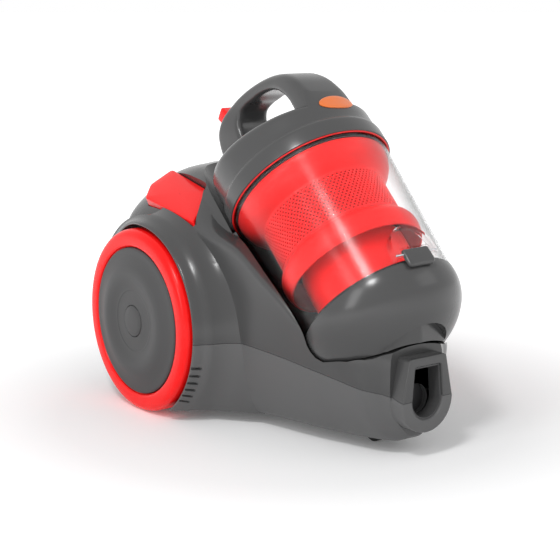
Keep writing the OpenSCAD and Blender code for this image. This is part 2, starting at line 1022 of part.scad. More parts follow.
module caster_wheel() {
    color(black)
    translate([0, caster_y + trail, caster_z])
        rotate([0, 90, 0])
            difference() {
                rotate_extrude()
                    polygon([[0, -caster_w / 2], [caster_r - 1.5, -caster_w / 2],
                             [caster_r, -caster_w / 2 + 2], [caster_r, caster_w / 2 - 2],
                             [caster_r - 1.5, caster_w / 2], [0, caster_w / 2]]);
                translate([0, 0, -20])
                    cylinder(h = 40, r = pin_r + 0.05);
            }
}

// ---- fasteners -----------------------------------------------------------
module body_screws() {
    color(steel)
    for (p = screw_at)
        translate([p[0], p[1], floor_z]) {
            translate([0, 0, 0.6])
                cylinder(h = 3.4, r = 3.8);
            translate([0, 0, 3])
                cylinder(h = post_top - floor_z - 3, r = 1.8);
            translate([0, 0, post_top - floor_z])
                cylinder(h = 12, r = 1.5);
        }
}

module pedal_pins() {
    color(steel) {
        for (s = [-1, 1])
            in_pedal(s)
                pedal_pin(pin_r);
        x_cyl(arm_x - arm_half - 3, arm_x + arm_half + 3, pin_r, arm_y, arm_z);
    }
}

// ---- pedals --------------------------------------------------------------
// shallow cap with a bevelled top edge
pedal_lip = 10;

module pedal_cap() {
    hull() {
        translate([0, 0, -pedal_lip])
            linear_extrude(pedal_lip - 2)
                pedal_plan();
        translate([0, 0, 1 - slab])
            linear_extrude(slab)
                offset(delta = -6)
                    pedal_plan();
    }
}

module pedal(s, finger) {
    color(red)
    in_pedal(s) {
        difference() {
            union() {
                difference() {
                    pedal_cap();
                    translate([0, 0, -pedal_lip - 1])
                        linear_extrude(pedal_lip + 2 - pedal_t)
                            offset(delta = -pedal_t)
                                pedal_plan();
                }
                for (x = [pin_x[0] + 7, pin_x[1] - 10])
                    translate([x, pivot_y - 3.2, pivot_z - 3.2])
                        cube([3, 6.4, 2.2 - pivot_z]);
            }
            pedal_pin(pin_r + 0.05);
        }
        if (finger)
            translate([finger_x - 3, finger_y - 4, -finger_len])
                cube([6, 6, finger_len - 1]);
    }
}

finger_len = 48;

// helical wire spring standing on z = 0
module coil(r, wire, len, turns) {
    sides = 6;
    steps = 12;
    n = turns * steps;
    rise = (len - 2 * wire) / n;
    function ring_point(i, k) =
        let (a = 360 * i / steps, b = 360 * k / sides, q = r + wire * cos(b))
            [q * cos(a), q * sin(a), wire + rise * i + wire * sin(b)];
    polyhedron(
        points = [for (i = [0 : n], k = [0 : sides - 1]) ring_point(i, k)],
        faces = concat(
            [[for (k = [0 : sides - 1]) k]],
            [for (i = [0 : n - 1], k = [0 : sides - 1])
                let (m = (k + 1) % sides)
                    [i * sides + k, (i + 1) * sides + k, (i + 1) * sides + m, i * sides + m]],
            [[for (k = [sides - 1 : -1 : 0]) n * sides + k]]));
}

module pedal_spring(s) {
    color(steel)
    in_pedal(s)
        translate([14, 12, -tub_depth - gap])
            coil(4.5, 0.8, tub_depth + gap - pedal_t + 0.8, 4);
}

// ---- dust bin ------------------------------------------------------------
module bin_cone(g, s0, s1) {
    k = (bin_top_r - bin_base_r) / bin_len;
    translate([0, 0, s0])
        cylinder(h = s1 - s0, r1 = bin_top_r + k * s0 + g, r2 = bin_top_r + k * s1 + g);
}

hinge_legs = [-18, 12];
hinge_leg_w = 6;
hinge_leg_r = 3.2;

// hanging leg round the hinge pin, grown by g as the pocket it turns in
module hinge_leg(x, g) {
    translate([x - g, hinge_v, hinge_s]) {
        rotate([0, 90, 0])
            cylinder(h = hinge_leg_w + 2 * g, r = hinge_leg_r + g);
        translate([0, -hinge_leg_r - g, 0])
            cube([hinge_leg_w + 2 * g, 2 * (hinge_leg_r + g), 6.6 + g]);
    }
}

module bin_clear() {
    color(clear)
    in_bin()
        difference() {
            union() {
                bin_cone(0, -bin_len, 0);
                cylinder(h = 8, r = bin_top_r);
                for (x = hinge_legs)
                    translate([x, 0, hinge_s + 6.2])
                        cube([hinge_leg_w, hinge_v + hinge_leg_r, 6]);
                for (x = hinge_legs)
                    hinge_leg(x, 0);
            }
            bin_cone(-bin_wall, -bin_len - 1, 0);
            translate([0, 0, -eps])
                cylinder(h = 9, r = bin_top_r - bin_wall);
            translate([0, 60, port_s])
                rotate([-90, 0, 0])
                    cylinder(h = 40, r = duct_bore);
            translate([-20, hinge_v, hinge_s])
                rotate([0, 90, 0])
                    cylinder(h = 40, r = 1.5);
        }
}

// the latch sits a few degrees round the bin from its middle
latch_turn = -3;

module in_latch() {
    in_bin()
        rotate([0, 0, latch_turn])
            children();
}

guard_w = 25;
guard_s = 11 - bin_len;
latch_half = 16;
latch_v = -bin_base_r - 4;
latch_s = 4.5 - bin_len;
latch_r = 1;

module guard_arch(t) {
    translate([0, guard_s])
        circle(r = guard_w - t);
    translate([t - guard_w, -bin_len + 1])
        square([2 * (guard_w - t), bin_len - 1 + guard_s]);
}

module along_v(v0, v1) {
    translate([0, v1, 0])
        rotate([90, 0, 0])
            linear_extrude(v1 - v0)
                children();
}

module latch_guard() {
    color(clear)
    in_latch()
        difference() {
            intersection() {
                along_v(latch_v - 1.7, latch_v + 26)
                    guard_arch(0);
                translate([-guard_w, latch_v - 4, -bin_len + 1])
                    cube([2 * guard_w, 40, bin_len - 1 + guard_s + guard_w]);
            }
            along_v(latch_v - 0.1, latch_v + 36)
                guard_arch(1.6);
            bin_cone(0.01, -bin_len, 0);
            translate([-latch_half - 2, latch_v - 9, guard_s - 30])
                cube([2 * latch_half + 4, 40, 30]);
            latch_bore(latch_r);
        }
}

module latch_bore(r) {
    translate([-guard_w, latch_v, latch_s])
        rotate([0, 90, 0])
            cylinder(h = 2 * guard_w, r = r);
}

module base_hinge_pin() {
    color(steel)
    in_bin()
        translate([-18, hinge_v, hinge_s])
            rotate([0, 90, 0])
                cylinder(h = 36, r = 1.5);
}

rim_s = -bin_len - 0.4;

module cap_solid(t) {
    rotate_extrude($fn = 120)
        polygon(concat([[0, rim_s + t]], [[bin_base_r + 0.5 - t, rim_s + t]],
            [for (p = cap_profile)
                [p[0] - t * (p[0] > 0.73 * bin_base_r ? 1 : 0.4),
                 p[1] + t * (p[0] > 0.95 * bin_base_r ? 0.3 : 0.9)]],
            [[0, t - bin_len - cap_depth]]));
}

// front undercut of the base cap: a shallow prow over the inlet block
prow = 0.23;
brow_r = 45;
brow_top = 135.5;

module cap_notch(g) {
    intersection() {
        translate([0, 0, 60])
            linear_extrude(120)
                polygon([[-120, notch_y + g + 120 * prow], [0, notch_y + g],
                         [120, notch_y + g + 120 * prow], [120, -400], [-120, -400]]);
        y_cyl(-300, -150, brow_r + g, 0, brow_top - brow_r);
    }
    y_cyl(-300, -175 + g, arch_r + g, 0, arch_top - arch_r);
}

module base_cap() {
    color(dark)
    difference() {
        union() {
            difference() {
                in_bin()
                    cap_solid(0);
                difference() {
                    in_bin()
                        cap_solid(wall);
                    cap_notch(wall);
                }
            }
            intersection() {
                in_bin()
                    difference() {
                        translate([0, 0, -bin_len - 58])
                            cylinder(h = 54, r = cone_r + 3);
                        translate([0, 0, -bin_len - 63])
                            cylinder(h = 90, r = cone_r + 1);
                    }
                in_bin()
                    cap_solid(0.5);
            }
            in_bin() {
                for (x = [-11.6, 5.6])
                    translate([x, hinge_v - 4, hinge_s - 3.4])
                        cube([6, 7.4, 6.8]);
            }
        }
        cap_notch(0);
        in_bin() {
            for (x = hinge_legs)
                hinge_leg(x, 0.3);
            difference() {
                bin_cone(-bin_wall - 0.3, rim_s - 8, rim_s);
                translate([0, 0, rim_s - wall - 0.5])
                    bin_cone(-bin_wall - 12, -60, -59);
                translate([0, 0, -bin_len - 73])
                    cylinder(h = 90, r = cone_r + 3);
            }
            translate([-20, hinge_v, hinge_s])
                rotate([0, 90, 0])
                    cylinder(h = 40, r = 1.55);
        }
        in_latch()
            translate([-7, latch_v - 3.7, latch_s - 14.5])
                cube([14, 16, 5.4]);
    }
}

module base_seal() {
    color(black)
    in_bin()
        rotate_extrude()
            polygon([[bin_base_r - bin_wall - 3.2, rim_s - 4], [bin_base_r - bin_wall - 0.5, rim_s - 4],
                     [bin_base_r - bin_wall - 0.5, rim_s + 3], [bin_base_r - bin_wall - 3.2, rim_s + 3]]);
}

module base_latch() {
    color(dark)
    in_latch()
        difference() {
            union() {
                across_x(2 * latch_half)
                    translate([latch_v, latch_s])
                        polygon([[-2.1, 3.5], [-0.7, 5.5], [1.7, 5.5], [1.7, -13.5],
                                 [0.7, -14.5], [-0.5, -13.5]]);
                translate([-6, latch_v + 1.3, latch_s - 12.5])
                    cube([12, 3.8, 2.6]);
            }
            translate([0, 0, -bin_len - 18])
                cylinder(h = 40, r = bin_base_r - 1.3);
            latch_bore(latch_r + 0.05);
        }
}

module latch_pin() {
    color(steel)
    in_latch()
        intersection() {
            latch_bore(latch_r);
            translate([-guard_w + 0.5, latch_v - 5, latch_s - 5])
                cube([2 * guard_w - 1, 10, 10]);
        }
}

// ---- bin lid and handle --------------------------------------------------
lid_top = 57;
lid_lean = 7.25;
lid_skin = 3;

module lid_profile() {
    polygon([[0, -2], [collar_r, -2], [collar_r, 12.5], [collar_r - 1.8, 16.5],
             [collar_r - 2.8, 18], [collar_r - 3.1, lid_top + 12], [0, lid_top + 12]]);
}

// domed crown that leans back from the axis of the bin, t lower than the outside
module lid_crown(t, n) {
    translate([0, 0, 50])
        rotate([lid_lean, 0, 0])
            translate([0, 0, -50])
                rotate_extrude($fn = n)
                    polygon([[0, -90], [collar_r + 40, -90], [collar_r + 40, 28 - t],
                             [collar_r - 2.5, 44 - t], [collar_r - 4.3, 49 - t],
                             [collar_r - 7.3, 52.5 - t], [collar_r - 12.3, 54.5 - t],
                             [collar_r - 40, 56 - t], [0, lid_top - t]]);
}

module lid_solid(n = 120) {
    intersection() {
        rotate_extrude($fn = n)
            lid_profile();
        lid_crown(0, n);
    }
}

module bin_lid() {
    color(dark)
    in_bin()
        difference() {
            lid_solid();
            translate([0, 0, -3])
                cylinder(h = 15, r = bin_top_r + 0.3);
            intersection() {
                translate([0, 0, 11])
                    cylinder(h = lid_top, r = collar_r - 6.2, $fn = 120);
                lid_crown(lid_skin, 120);
            }
            translate([0, 60, air_s])
                rotate([-90, 0, 0])
                    cylinder(h = 50, r = air_bore - 2);
            translate([-catch_half - 0.3, 70, catch_s - 3.3])
                cube([2 * catch_half + 0.6, 40, 6.6]);
        }
}

module lid_seal() {
    color(red)
    in_bin()
        difference() {
            translate([0, 0, -3.8])
                cylinder(h = 1.8, r = collar_r - 0.5, $fn = 120);
            translate([0, 0, -5])
                cylinder(h = 5, r = bin_top_r + 0.3, $fn = 120);
        }
}

// stations along the handle: outer point, inner point and half width
handle_path = [[[-89, 28], [-66, 28], leg_half_w + 2],
               [[-88, 56], [-63, 62], leg_half_w + 1],
               [[-83.5, 72], [-59, 76], leg_half_w],
               [[-76, 88], [-51, 89], leg_half_w - 2],
               [[-64, 102], [-43, 98], grip_half_w + 3],
               [[-47, 114], [-29, 107], grip_half_w + 1.5],
               [[-20, 127], [-10, 115], grip_half_w],
               [[12, 137.5], [12, 121], grip_half_w],
               [[38, 142], [24, 118], grip_half_w],
               [[57, 139.5], [30, 111], grip_half_w + 2.5],
               [[70, 130], [32.5, 102], grip_half_w + 2.5],
               [[77, 115], [33.5, 88], grip_half_w + 2.5],
               [[79.5, 97], [33.5, 72], grip_half_w + 2.5],
               [[79.5, 76], [33.5, 56], grip_half_w + 2.5],
               [[79.5, 44], [33.5, 44], grip_half_w + 2.5]];

// rounded section between the inner and the outer point of a station
module handle_section(st) {
    d = st[0] - st[1];
    h = norm(d);
    w = st[2];
    k = min(8, h / 2.2);
    translate([0, st[1][0], st[1][1]])
        rotate([atan2(-d[0], d[1]), 0, 0])
            rotate([90, 0, 0])
                linear_extrude(slab)
                    polygon(concat(arc(w - k, h - k, k, 0, 90, 4),
                                   arc(k - w, h - k, k, 90, 180, 4),
                                   arc(k - w, k, k, 180, 270, 3),
                                   arc(w - k, k, k, 270, 360, 3)));
}

module handle_bow() {
    for (i = [0 : len(handle_path) - 2])
        hull() {
            handle_section(handle_path[i]);
            handle_section(handle_path[i + 1]);
        }
}

catch_half = 10;
catch_s = 36;
button_v = 50;
button_s = 141;

module in_button() {
    translate([0, button_v, button_s])
        rotate([-16, 0, 0])
            children();
}

module carry_handle() {
    color(dark)
    in_bin()
        difference() {
            intersection() {
                handle_bow();
                translate([0, 0, 20])
                    cylinder(h = 140, r = collar_r - 2.9, $fn = 120);
            }
            lid_solid(360);
            in_button()
                translate([-button_half_w - gap, -8 - gap, -18])
                    cube([2 * button_half_w + 2 * gap, 16 + 2 * gap, 40]);
        }
}

module release_button() {
    color(red)
    in_bin()
        in_button()
            difference() {
                across_x(2 * button_half_w)
                    polygon([[-8, -8], [8, -8], [8, 5], [4, 12], [-5, 13], [-8, 8]]);
                translate([0, 0, -9])
                    cylinder(h = 10, r = 5.5);
            }
}

module button_spring() {
    color(steel)
    in_bin()
        in_button()
            translate([0, 0, -17.9])
                coil(3.8, 0.6, 18.7, 4);
}

module release_catch() {
    color(red)
    in_bin()
        translate([-catch_half, collar_r - 18.3, catch_s - 3])
            cube([2 * catch_half, 20.4, 6]);
}

// the badge sits a few degrees round the lid from its middle
badge_turn = 3.3;

module badge_blank() {
    color([0.55, 0.55, 0.56])
    in_bin()
        rotate([0, 0, badge_turn])
            intersection() {
                along_v(-100, -60)
                    translate([0, 37])
                        polygon([for (i = [0 : 47]) [22 * cos(i * 7.5), 8 * sin(i * 7.5)]]);
                difference() {
                    cylinder(h = 80, r = collar_r - 1.6, $fn = 120);
                    translate([0, 0, -1])
                        cylinder(h = 82, r = collar_r - 2.75, $fn = 120);
                }
            }
}

module filter_tray() {
    color(white)
    in_bin()
        difference() {
            translate([0, 0, 2])
                cylinder(h = 9, r = bin_top_r - 4.6);
            translate([0, 0, 4])
                cylinder(h = 9, r = bin_top_r - 7.1);
            for (r = [20, 44, 66], i = [0 : 11])
                if (r > 30 || i < 6)
                    rotate([0, 0, i * (r > 30 ? 30 : 60)])
                        translate([r, 0, 0])
                            cylinder(h = 6, r = r * 0.14 + 1);
        }
}

module pre_filter() {
    color([0.25, 0.25, 0.27])
    in_bin()
        translate([0, 0, 4.2])
            cylinder(h = 24, r = bin_top_r - 7.6);
}

// ---- cyclone parts -------------------------------------------------------
screen_s0 = -38;
screen_s1 = -78;
shroud_t = 2.2;

module shroud() {
    color(red)
    in_bin()
        difference() {
            rotate_extrude($fn = 120)
                polygon([[bin_top_r - 2.9, 1.6], [bin_top_r - 2.9, -4],
                         [bin_top_r - 5.6, -20], [screen_r + 1, -35.5],
                         [screen_r, screen_s0], [screen_r - 2, screen_s1 - 1],
                         [72.5, -83], [76, -91], [76.4, -97], [75.4, -103], [73, -108],
                         [70.6, -108], [72.6, -100], [cone_r + 0.3, -98],
                         [cone_r + 0.3, -95], [70, -92], [screen_r - 2 - shroud_t, screen_s1],
                         [screen_r - shroud_t, screen_s0], [bin_top_r - 8.6, -20],
                         [bin_top_r - 6.1, -3], [bin_top_r - 6.1, 1.6]]);
            for (row = [0 : 3], i = [0 : 19])
                translate([0, 0, screen_s0 - 5 - row * 10])
                    rotate([0, 90, 18 * i + 9 * (row % 2)])
                        translate([0, 0, screen_r - 14])
                            cylinder(h = 20, r = hole_r, $fn = 24);
        }
}

module dust_cone() {
    color(red)
    in_bin()
        rotate_extrude()
            polygon([[20, 1.9], [20, -62], [cone_r - 2.2, -92], [cone_r - 2.2, -bin_len - 1],
                     [cone_r, -bin_len - 1], [cone_r, -90.6], [22, -60.4], [22, 1.9]]);
}

lower_chassis();
upper_body();
inlet_collar();
inlet_duct();
duct_seal();
motor_duct();
port_seal();
motor_chamber();
chamber_cover();
motor_mounts();
motor_case();
fan_rotor();
exhaust_filter();
exhaust_grille();
cord_drum();
rewind_spring_case();
reel_post();
brake_arm();
brake_roller();
switch_box();
switch_plunger();
control_board();
cord_gland();
wheel_axles();
axle_clips();
body_screws();
pedal_pins();
pedal(-1, false);  // pedal_power
pedal(1, true);  // pedal_rewind
pedal_spring(-1);  // spring_power
pedal_spring(1);  // spring_rewind
hub(-1);  // hub_left
tyre(-1);  // tyre_left
hub_cap(-1);  // cap_left
hub(1);  // hub_right
tyre(1);  // tyre_right
hub_cap(1);  // cap_right
caster_fork();
caster_pin();
caster_wheel();
bin_clear();
latch_guard();
base_hinge_pin();
base_cap();
base_seal();
base_latch();
latch_pin();
bin_lid();
lid_seal();
carry_handle();
badge_blank();
release_button();
button_spring();
release_catch();
filter_tray();
pre_filter();
shroud();
dust_cone();
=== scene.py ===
import bpy
import json
import numpy as np
from math import radians, sin, cos, pi, sqrt
from mathutils import Matrix, Vector


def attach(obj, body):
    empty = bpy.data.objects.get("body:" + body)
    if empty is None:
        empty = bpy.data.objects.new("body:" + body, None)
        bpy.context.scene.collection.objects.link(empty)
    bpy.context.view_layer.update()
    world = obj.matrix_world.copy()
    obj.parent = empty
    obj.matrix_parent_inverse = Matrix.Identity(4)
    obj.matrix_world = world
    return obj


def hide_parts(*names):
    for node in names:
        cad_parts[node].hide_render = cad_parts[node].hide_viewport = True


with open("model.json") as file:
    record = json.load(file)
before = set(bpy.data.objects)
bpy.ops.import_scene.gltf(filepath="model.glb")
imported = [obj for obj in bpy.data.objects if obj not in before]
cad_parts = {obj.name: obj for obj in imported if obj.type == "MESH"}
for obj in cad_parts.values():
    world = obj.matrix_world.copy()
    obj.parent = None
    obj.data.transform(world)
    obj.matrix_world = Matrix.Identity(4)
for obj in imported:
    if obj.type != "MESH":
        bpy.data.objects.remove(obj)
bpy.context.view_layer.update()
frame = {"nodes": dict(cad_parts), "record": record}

# ---- View: the machine stands on a seamless white studio sweep.  The camera looks
# down a little from the front left, past the left wheel towards the hose inlet.
look_down, look_right = 11.28, 36.72
camera = bpy.data.objects.new("camera", bpy.data.cameras.new("camera"))
bpy.context.collection.objects.link(camera)
camera.location = (-0.89262, -1.17493, 0.43739)
camera.rotation_euler = (radians(90 - look_down), 0, radians(-look_right))
camera.data.lens = 90
camera.data.sensor_width = 36
camera.data.clip_end = 50
bpy.context.scene.camera = camera
bpy.context.scene.view_settings.view_transform = "Standard"


def material(name, colour, rough, **sockets):
    """A plain finish and its shader; each keyword sets the shader socket of that name."""
    plain = bpy.data.materials.new(name)
    plain.use_nodes = True
    shader = plain.node_tree.nodes["Principled BSDF"]
    shader.inputs["Base Color"].default_value = (*colour, 1)
    shader.inputs["Roughness"].default_value = rough
    for key, value in sockets.items():
        shader.inputs[key.replace("_", " ")].default_value = value
    return plain, shader


def added(tree, kind, *feeds, operation=None, **sockets):
    """A new shader node: feeds go into its first sockets, keywords set sockets by name."""
    node = tree.nodes.new("ShaderNode" + kind)
    if operation:
        node.operation = operation
    for feed, socket in zip(feeds, node.inputs):
        tree.links.new(feed, socket)
    for key, value in sockets.items():
        node.inputs[key.replace("_", " ")].default_value = value
    return node


def area_lamp(name, place, aim, width, height, power):
    """A soft box that stands at a place and points at another."""
    data = bpy.data.lights.new(name, "AREA")
    data.shape = "RECTANGLE"
    data.size = width
    data.size_y = height
    data.energy = power
    lamp = bpy.data.objects.new(name, data)
    bpy.context.collection.objects.link(lamp)
    lamp.location = place
    lamp.rotation_euler = (Vector(aim) - Vector(place)).to_track_quat("-Z", "Y").to_euler()


area_lamp("key_softbox", (-1.15, -0.75, 1.75), (0, 0, 0.1), 0.32, 0.32, 14)
area_lamp("left_strip", (-1.8, -0.5, 0.9), (0, 0, 0.15), 0.55, 1.2, 8)
area_lamp("front_softbox", (1.5, -1.9, 1.3), (0, 0, 0.15), 1.2, 1.2, 4)

# the studio is white to the camera and in reflections, and dimmer as a light
studio_level = 0.56
world = bpy.data.worlds.new("studio")
bpy.context.scene.world = world
world.use_nodes = True
studio = world.node_tree
sky = studio.nodes["Background"]
sky.inputs["Color"].default_value = (1, 1, 1, 1)
rays = added(studio, "LightPath").outputs
direct = added(studio, "Math", rays["Is Camera Ray"], rays["Is Glossy Ray"], operation="MAXIMUM")
through = added(studio, "Math", direct.outputs[0], rays["Is Transmission Ray"], operation="MAXIMUM")
level = added(studio, "MapRange", through.outputs[0], To_Min=studio_level, To_Max=1.0)
studio.links.new(level.outputs["Result"], sky.inputs["Strength"])

# the floor lies a fifth of a millimetre under the tyres and glows more away from them
floor_size, floor_height = 120, -0.0002
bpy.ops.object.select_all(action="DESELECT")
bpy.ops.mesh.primitive_plane_add(size=floor_size, location=(0, 0, floor_height))
floor = bpy.context.object
floor.name = "studio_floor"
floor_finish, floor_shader = material("studio_floor", (0.94, 0.94, 0.945), 0.9, Specular_IOR_Level=0.1)
floor_shader.inputs["Emission Color"].default_value = (1, 1, 1, 1)
sweep = floor_finish.node_tree
reach = added(sweep, "VectorMath", added(sweep, "TexCoord").outputs["Object"], operation="LENGTH")
lift = added(sweep, "MapRange", reach.outputs["Value"],
             From_Min=0.25, From_Max=0.75, To_Min=0.08, To_Max=0.75)
sweep.links.new(lift.outputs["Result"], floor_shader.inputs["Emission Strength"])
floor.data.materials.append(floor_finish)

# ---- Body: two injection moulded shells in satin grey plastic, the lower one a shade
# lighter, meeting at a seam that rises from the nose.  The upper shell is a cradle for
# the bin in front and a rounded deck behind; a rim runs round each wheel opening.
MM = 0.001


def flow(rows, steps):
    """Samples a smooth curve through the rows, steps to each span."""
    p = np.asarray(rows, float)
    flat = p.reshape(len(p), -1)
    d = np.maximum(np.linalg.norm(np.diff(flat, axis=0), axis=1), 1e-9) ** 0.5
    slope = np.diff(flat, axis=0) / d[:, None]
    tangent = np.empty_like(flat)
    tangent[0], tangent[-1] = slope[0], slope[-1]
    for i in range(1, len(flat) - 1):
        tangent[i] = (slope[i - 1] * d[i] + slope[i] * d[i - 1]) / (d[i - 1] + d[i])
    out = []
    for i in range(len(flat) - 1):
        for k in range(steps):
            t = k / steps
            h = d[i]
            out.append((2 * t**3 - 3 * t**2 + 1) * flat[i] + (t**3 - 2 * t**2 + t) * h * tangent[i]
                       + (3 * t**2 - 2 * t**3) * flat[i + 1] + (t**3 - t**2) * h * tangent[i + 1])
    out.append(flat[-1])
    return np.array(out).reshape(-1, *p.shape[1:])


def curve(points, steps):
    """A smooth outline through the points, steps to each span, as a list of pairs."""
    return [tuple(q) for q in flow(points, steps)]


def only(obj):
    """Makes one object the selected and active one."""
    bpy.ops.object.select_all(action="DESELECT")
    obj.select_set(True)
    bpy.context.view_layer.objects.active = obj
    return obj


def make(name, points, faces):
    """A mesh object from points in millimetres."""
    mesh = bpy.data.meshes.new(name)
    mesh.from_pydata([tuple(c * MM for c in q) for q in points], [], faces)
    mesh.validate()
    obj = bpy.data.objects.new(name, mesh)
    bpy.context.collection.objects.link(obj)
    return only(obj)


def outward(obj):
    """Welds doubles and turns every face outwards."""
    only(obj)
    bpy.ops.object.mode_set(mode="EDIT")
    bpy.ops.mesh.select_all(action="SELECT")
    bpy.ops.mesh.remove_doubles(threshold=1e-6)
    bpy.ops.mesh.normals_make_consistent(inside=False)
    bpy.ops.object.mode_set(mode="OBJECT")
    return obj


def grid(name, rings):
    """A closed skin through rings of points, each with as many points as the next."""
    rings = [list(map(tuple, ring)) for ring in rings]
    n, m = len(rings), len(rings[0])
    faces = [(i * m + j, i * m + (j + 1) % m, (i + 1) * m + (j + 1) % m, (i + 1) * m + j)
             for i in range(n - 1) for j in range(m)]
    faces += [tuple(range(m))[::-1], tuple(range((n - 1) * m, n * m))]
    return outward(make(name, [q for ring in rings for q in ring], faces))


def turned(name, profile, turns):
    """A lathe form: a closed line of (radius, height) points turned about the upright axis."""
    m = len(profile)
    points, faces = [], []
    for k in range(turns):
        a = 2 * pi * k / turns
        points += [(r * cos(a), r * sin(a), h) for r, h in profile]
        here, ahead = k * m, (k + 1) % turns * m
        faces += [(here + j, ahead + j, ahead + (j + 1) % m, here + (j + 1) % m) for j in range(m)]
    return outward(make(name, points, faces))


def shape(obj, kind, **settings):
    """Adds a modifier and applies it."""
    only(obj)
    mod = obj.modifiers.new(kind.lower(), kind)
    for key, value in settings.items():
        setattr(mod, key, value)
    bpy.ops.object.modifier_apply(modifier=mod.name)
    return obj


def carve(obj, tool, how="DIFFERENCE", keep=False):
    """Cuts, joins or intersects an object with a tool, and drops the tool unless it is kept."""
    shape(obj, "BOOLEAN", operation=how, object=tool, solver="EXACT")
    if not keep:
        bpy.data.objects.remove(tool)
    return obj


def copied(obj, name):
    """A twin of an object, with a mesh of its own."""
    twin = obj.copy()
    twin.data = obj.data.copy()
    twin.name = name
    bpy.context.collection.objects.link(twin)
    return twin


def placed(obj, matrix):
    """Puts a form in place and leaves its object at the origin."""
    obj.data.transform(matrix)
    obj.data.update()
    return obj


def circle(radius, u, v, count):
    """A round outline about (u, v)."""
    return [(u + radius * cos(a), v + radius * sin(a)) for a in np.linspace(0, 2 * pi, count, False)]


def oblong(u_low, u_high, v_low, v_high):
    """A rectangular outline between two corners."""
    return [(u_low, v_low), (u_high, v_low), (u_high, v_high), (u_low, v_high)]


def rounded(points, radius, steps=4):
    """An outline with its corners rounded; a radius of 0 keeps a corner sharp."""
    most = 0.49  # the share of a side that one corner may take
    out = []
    for i, q in enumerate(points):
        r = radius[i] if isinstance(radius, (list, tuple)) else radius
        q = np.array(q, float)
        u = np.array(points[i - 1], float) - q
        v = np.array(points[(i + 1) % len(points)], float) - q
        lu, lv = np.linalg.norm(u), np.linalg.norm(v)
        k = min(r, lu * most, lv * most)
        if k <= 0:
            out.append(tuple(q))
            continue
        s, e = q + u / lu * k, q + v / lv * k
        for t in np.linspace(0, 1, steps + 1):
            out.append(tuple((1 - t) ** 2 * s + 2 * t * (1 - t) * q + t**2 * e))
    return out


def drawn_in(outline, d):
    """The same outline, drawn in by d all round."""
    mitre_limit = 0.4  # keeps a sharp corner from running away
    p = np.array(outline, float)
    edge = np.roll(p, -1, 0) - p
    edge /= np.linalg.norm(edge, axis=1)[:, None]
    turn = np.sign(np.sum(p[:, 0] * np.roll(p[:, 1], -1) - np.roll(p[:, 0], -1) * p[:, 1]))
    normal = np.stack([-edge[:, 1], edge[:, 0]], 1) * turn
    both = normal + np.roll(normal, 1, 0)
    both /= np.maximum(np.sum(both**2, axis=1) / 2, mitre_limit)[:, None]
    return [tuple(q) for q in p + both * d]


# how an outline (u, v) and a height h lie for each axis it is pushed along, and the inset
# and depth of each ring of a softened end, as shares of its softness
PUSHED = {"x": lambda u, v, h: (h, u, v), "y": lambda u, v, h: (u, h, v), "z": lambda u, v, h: (u, v, h)}
SOFT_END = [(1, 0), (0.62, 0.08), (0.3, 0.3), (0.08, 0.62)]


def slab(name, outline, low_end, high_end, axis, soft_low=0, soft_high=0):
    """An outline pushed through between two heights along an axis, its ends softened."""
    rings = [(soft_low * inset, low_end + soft_low * depth) for inset, depth in SOFT_END if soft_low]
    rings += [(0, low_end + soft_low), (0, high_end - soft_high)]
    rings += [(soft_high * inset, high_end - soft_high * depth)
              for inset, depth in SOFT_END[::-1] if soft_high]
    return grid(name, [[PUSHED[axis](u, v, h) for u, v in (drawn_in(outline, d) if d else outline)]
                       for d, h in rings])


# the wheel axle, and the frame of the bin, whose axis leans back and whose height counts
# from the top of the wall's taper
WHEEL_Y, WHEEL_Z = 97.2, 99.3
TILT = radians(45.86)
BIN = Matrix.Translation((0, -31.9 * MM, 246.8 * MM)) @ Matrix.Rotation(-TILT, 4, "X")

# stations along the body, by y: the right half of each section as (x, z) points, from the
# half width and height of the keel, through the seam, up to the middle of the deck
keel = {-200: (20, 8), -194: (16, 13), -188: (14, 17), -181: (13.2, 20), -170: (12.6, 24),
        -158: (12.3, 28.5), -140: (12, 34), -123: (12, 40), -96: (12, 47), -60: (12, 54), -29: (12, 61),
        6: (12, 70), 39: (12, 78), 62: (12, 84), 97: (12, 89), 124: (12, 90), 157: (12, 90),
        182: (12.5, 88), 201: (24, 86), 213: (44, 74), 219.6: (80, 58)}
seam = {-200: (33.4, 64), -194: (38, 66), -188: (46.5, 68.4), -181: (55, 71), -170: (59.5, 73.6),
        -158: (63, 76), -140: (67.6, 79.2), -123: (72, 82), -96: (78, 86.4), -60: (85, 90.4),
        -29: (90, 92.2), 6: (95, 90.6), 39: (99.5, 84.6), 62: (102, 81.8), 97: (104, 80.2),
        124: (104.4, 80), 157: (104.4, 80), 182: (104, 80), 201: (99, 80.5), 213: (87, 82),
        219.6: (68, 92)}
